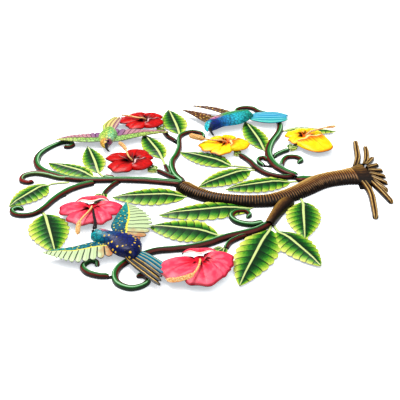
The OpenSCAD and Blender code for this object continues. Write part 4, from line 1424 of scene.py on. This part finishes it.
make_bird("bird_1", "blue_bird_paint",
          ([(-240, 92), (-224, 98), (-205, 107), (-192, 122), (-185, 136), (-178, 148), (-168, 154)],
           [14, 34, 46, 42, 28, 26, 12], 13),
          [(-170, 152), (-150, 153), (-130, 157), (-110, 160)], 7, (-180, 153, WING_Z + 11),
          [([(-194, 124), (-190, 148), (-201, 177), (-208, 202), (-215, 221)],
            [(-222, 108), (-236, 142), (-243, 172), (-232, 197), (-218, 220)]),
           ([(-182, 118), (-154, 130), (-128, 127), (-102, 120), (-80, 113)],
            [(-194, 92), (-176, 76), (-140, 70), (-108, 84), (-83, 110)])],
          ([(-214, 88), (-224, 74), (-238, 60), (-252, 48)],
           [(-238, 104), (-260, 90), (-284, 72), (-306, 54)]),
          (13, 6), (BLUE_BODY, BLUE_WING, BLUE_TAIL))
make_bird("bird_2", "green_bird_paint",
          ([(110, 158), (120, 161), (136, 161), (156, 160), (174, 159), (188, 160)],
           [8, 19, 26, 34, 28, 16], 10),
          [(114, 159), (102, 158), (92, 156), (82, 151)], 7, (121, 156, WING_Z + 9),
          [([(140, 172), (138, 190), (141, 214), (150, 252)],
            [(178, 176), (174, 204), (168, 230), (154, 253)]),
           ([(138, 156), (140, 136), (150, 114), (159, 92), (169, 53)],
            [(190, 152), (189, 132), (186, 110), (181, 84), (174, 53)])],
          ([(184, 172), (206, 174), (226, 168), (246, 156)],
           [(184, 150), (206, 145), (226, 141), (244, 138)]),
          (12, 4), (GREEN_BODY, GREEN_WING, GREEN_TAIL))
make_bird("bird_3", "turquoise_bird_paint",
          ([(232, -104), (226, -88), (216, -66), (206, -46), (194, -32), (180, -24), (166, -20)],
           [20, 36, 48, 44, 34, 28, 12], 13),
          [(170, -22), (158, -24), (148, -26), (138, -29)], 5, (182, -30, WING_Z + 11),
          [([(196, -28), (214, -10), (240, 8), (266, 28)], [(222, -46), (240, -28), (256, -4), (269, 27)]),
           ([(228, -58), (246, -46), (266, -22), (284, 9)], [(236, -84), (256, -64), (276, -34), (288, 7)])],
          ([(240, -98), (248, -122), (247, -148), (232, -170)],
           [(214, -98), (200, -122), (198, -146), (208, -168)]),
          (10, 6), (SEA_BODY, SEA_WING, SEA_TAIL))

# %% [markdown]
# ## Hidden hardware
# Short studs hold the birds above the stems. Two flat straps cross the backs of crown stems. Each has a
# hole for a nail, which is how the relief hangs.

# %% Studs and straps
STUD_RADIUS = 3.5
HOLE_RADIUS = 2.5
STRAP_HALF = (6.0, 6.5)

studs = Piece("bird_studs")
for x, y in ((-220, 87), (-276, 71), (154, 242), (172, 55), (222, -152), (238, -146)):
    heights = (STEM_TOP, STEM_TOP + 0.3, BIRD_Z - 0.3, BIRD_Z)
    path = np.array([[x, y + 0.001 * (row % 2), z] for row, z in enumerate(heights)])
    tube(studs, path, np.full(4, STUD_RADIUS), 0, 20)
settle(studs.build(BACKING, BACKING), "black_back_paint", "bird_studs")

straps = Piece("hanger_straps")
for (x, y), angle in (((97, 279), 0.0), ((-34, 220), math.radians(40))):
    turn = np.linspace(0, 2 * math.pi, 65)
    edge = np.minimum(*[half / np.maximum(np.abs(wave), 1e-6)
                        for half, wave in zip(STRAP_HALF, (np.cos(turn), np.sin(turn)))])
    front = np.zeros((4, 65, 3))
    for row, share in enumerate((0, 0.08, 0.5, 1)):
        r = HOLE_RADIUS + (edge - HOLE_RADIUS) * share
        front[row, :, 0] = x + r * np.cos(turn + angle)
        front[row, :, 1] = y + r * np.sin(turn + angle)
        front[row, :, 2] = SHEET
    straps.sheet(front, np.full_like(front, 0.5))
settle(straps.build(BACKING, BACKING), "black_back_paint", "hanger_straps")
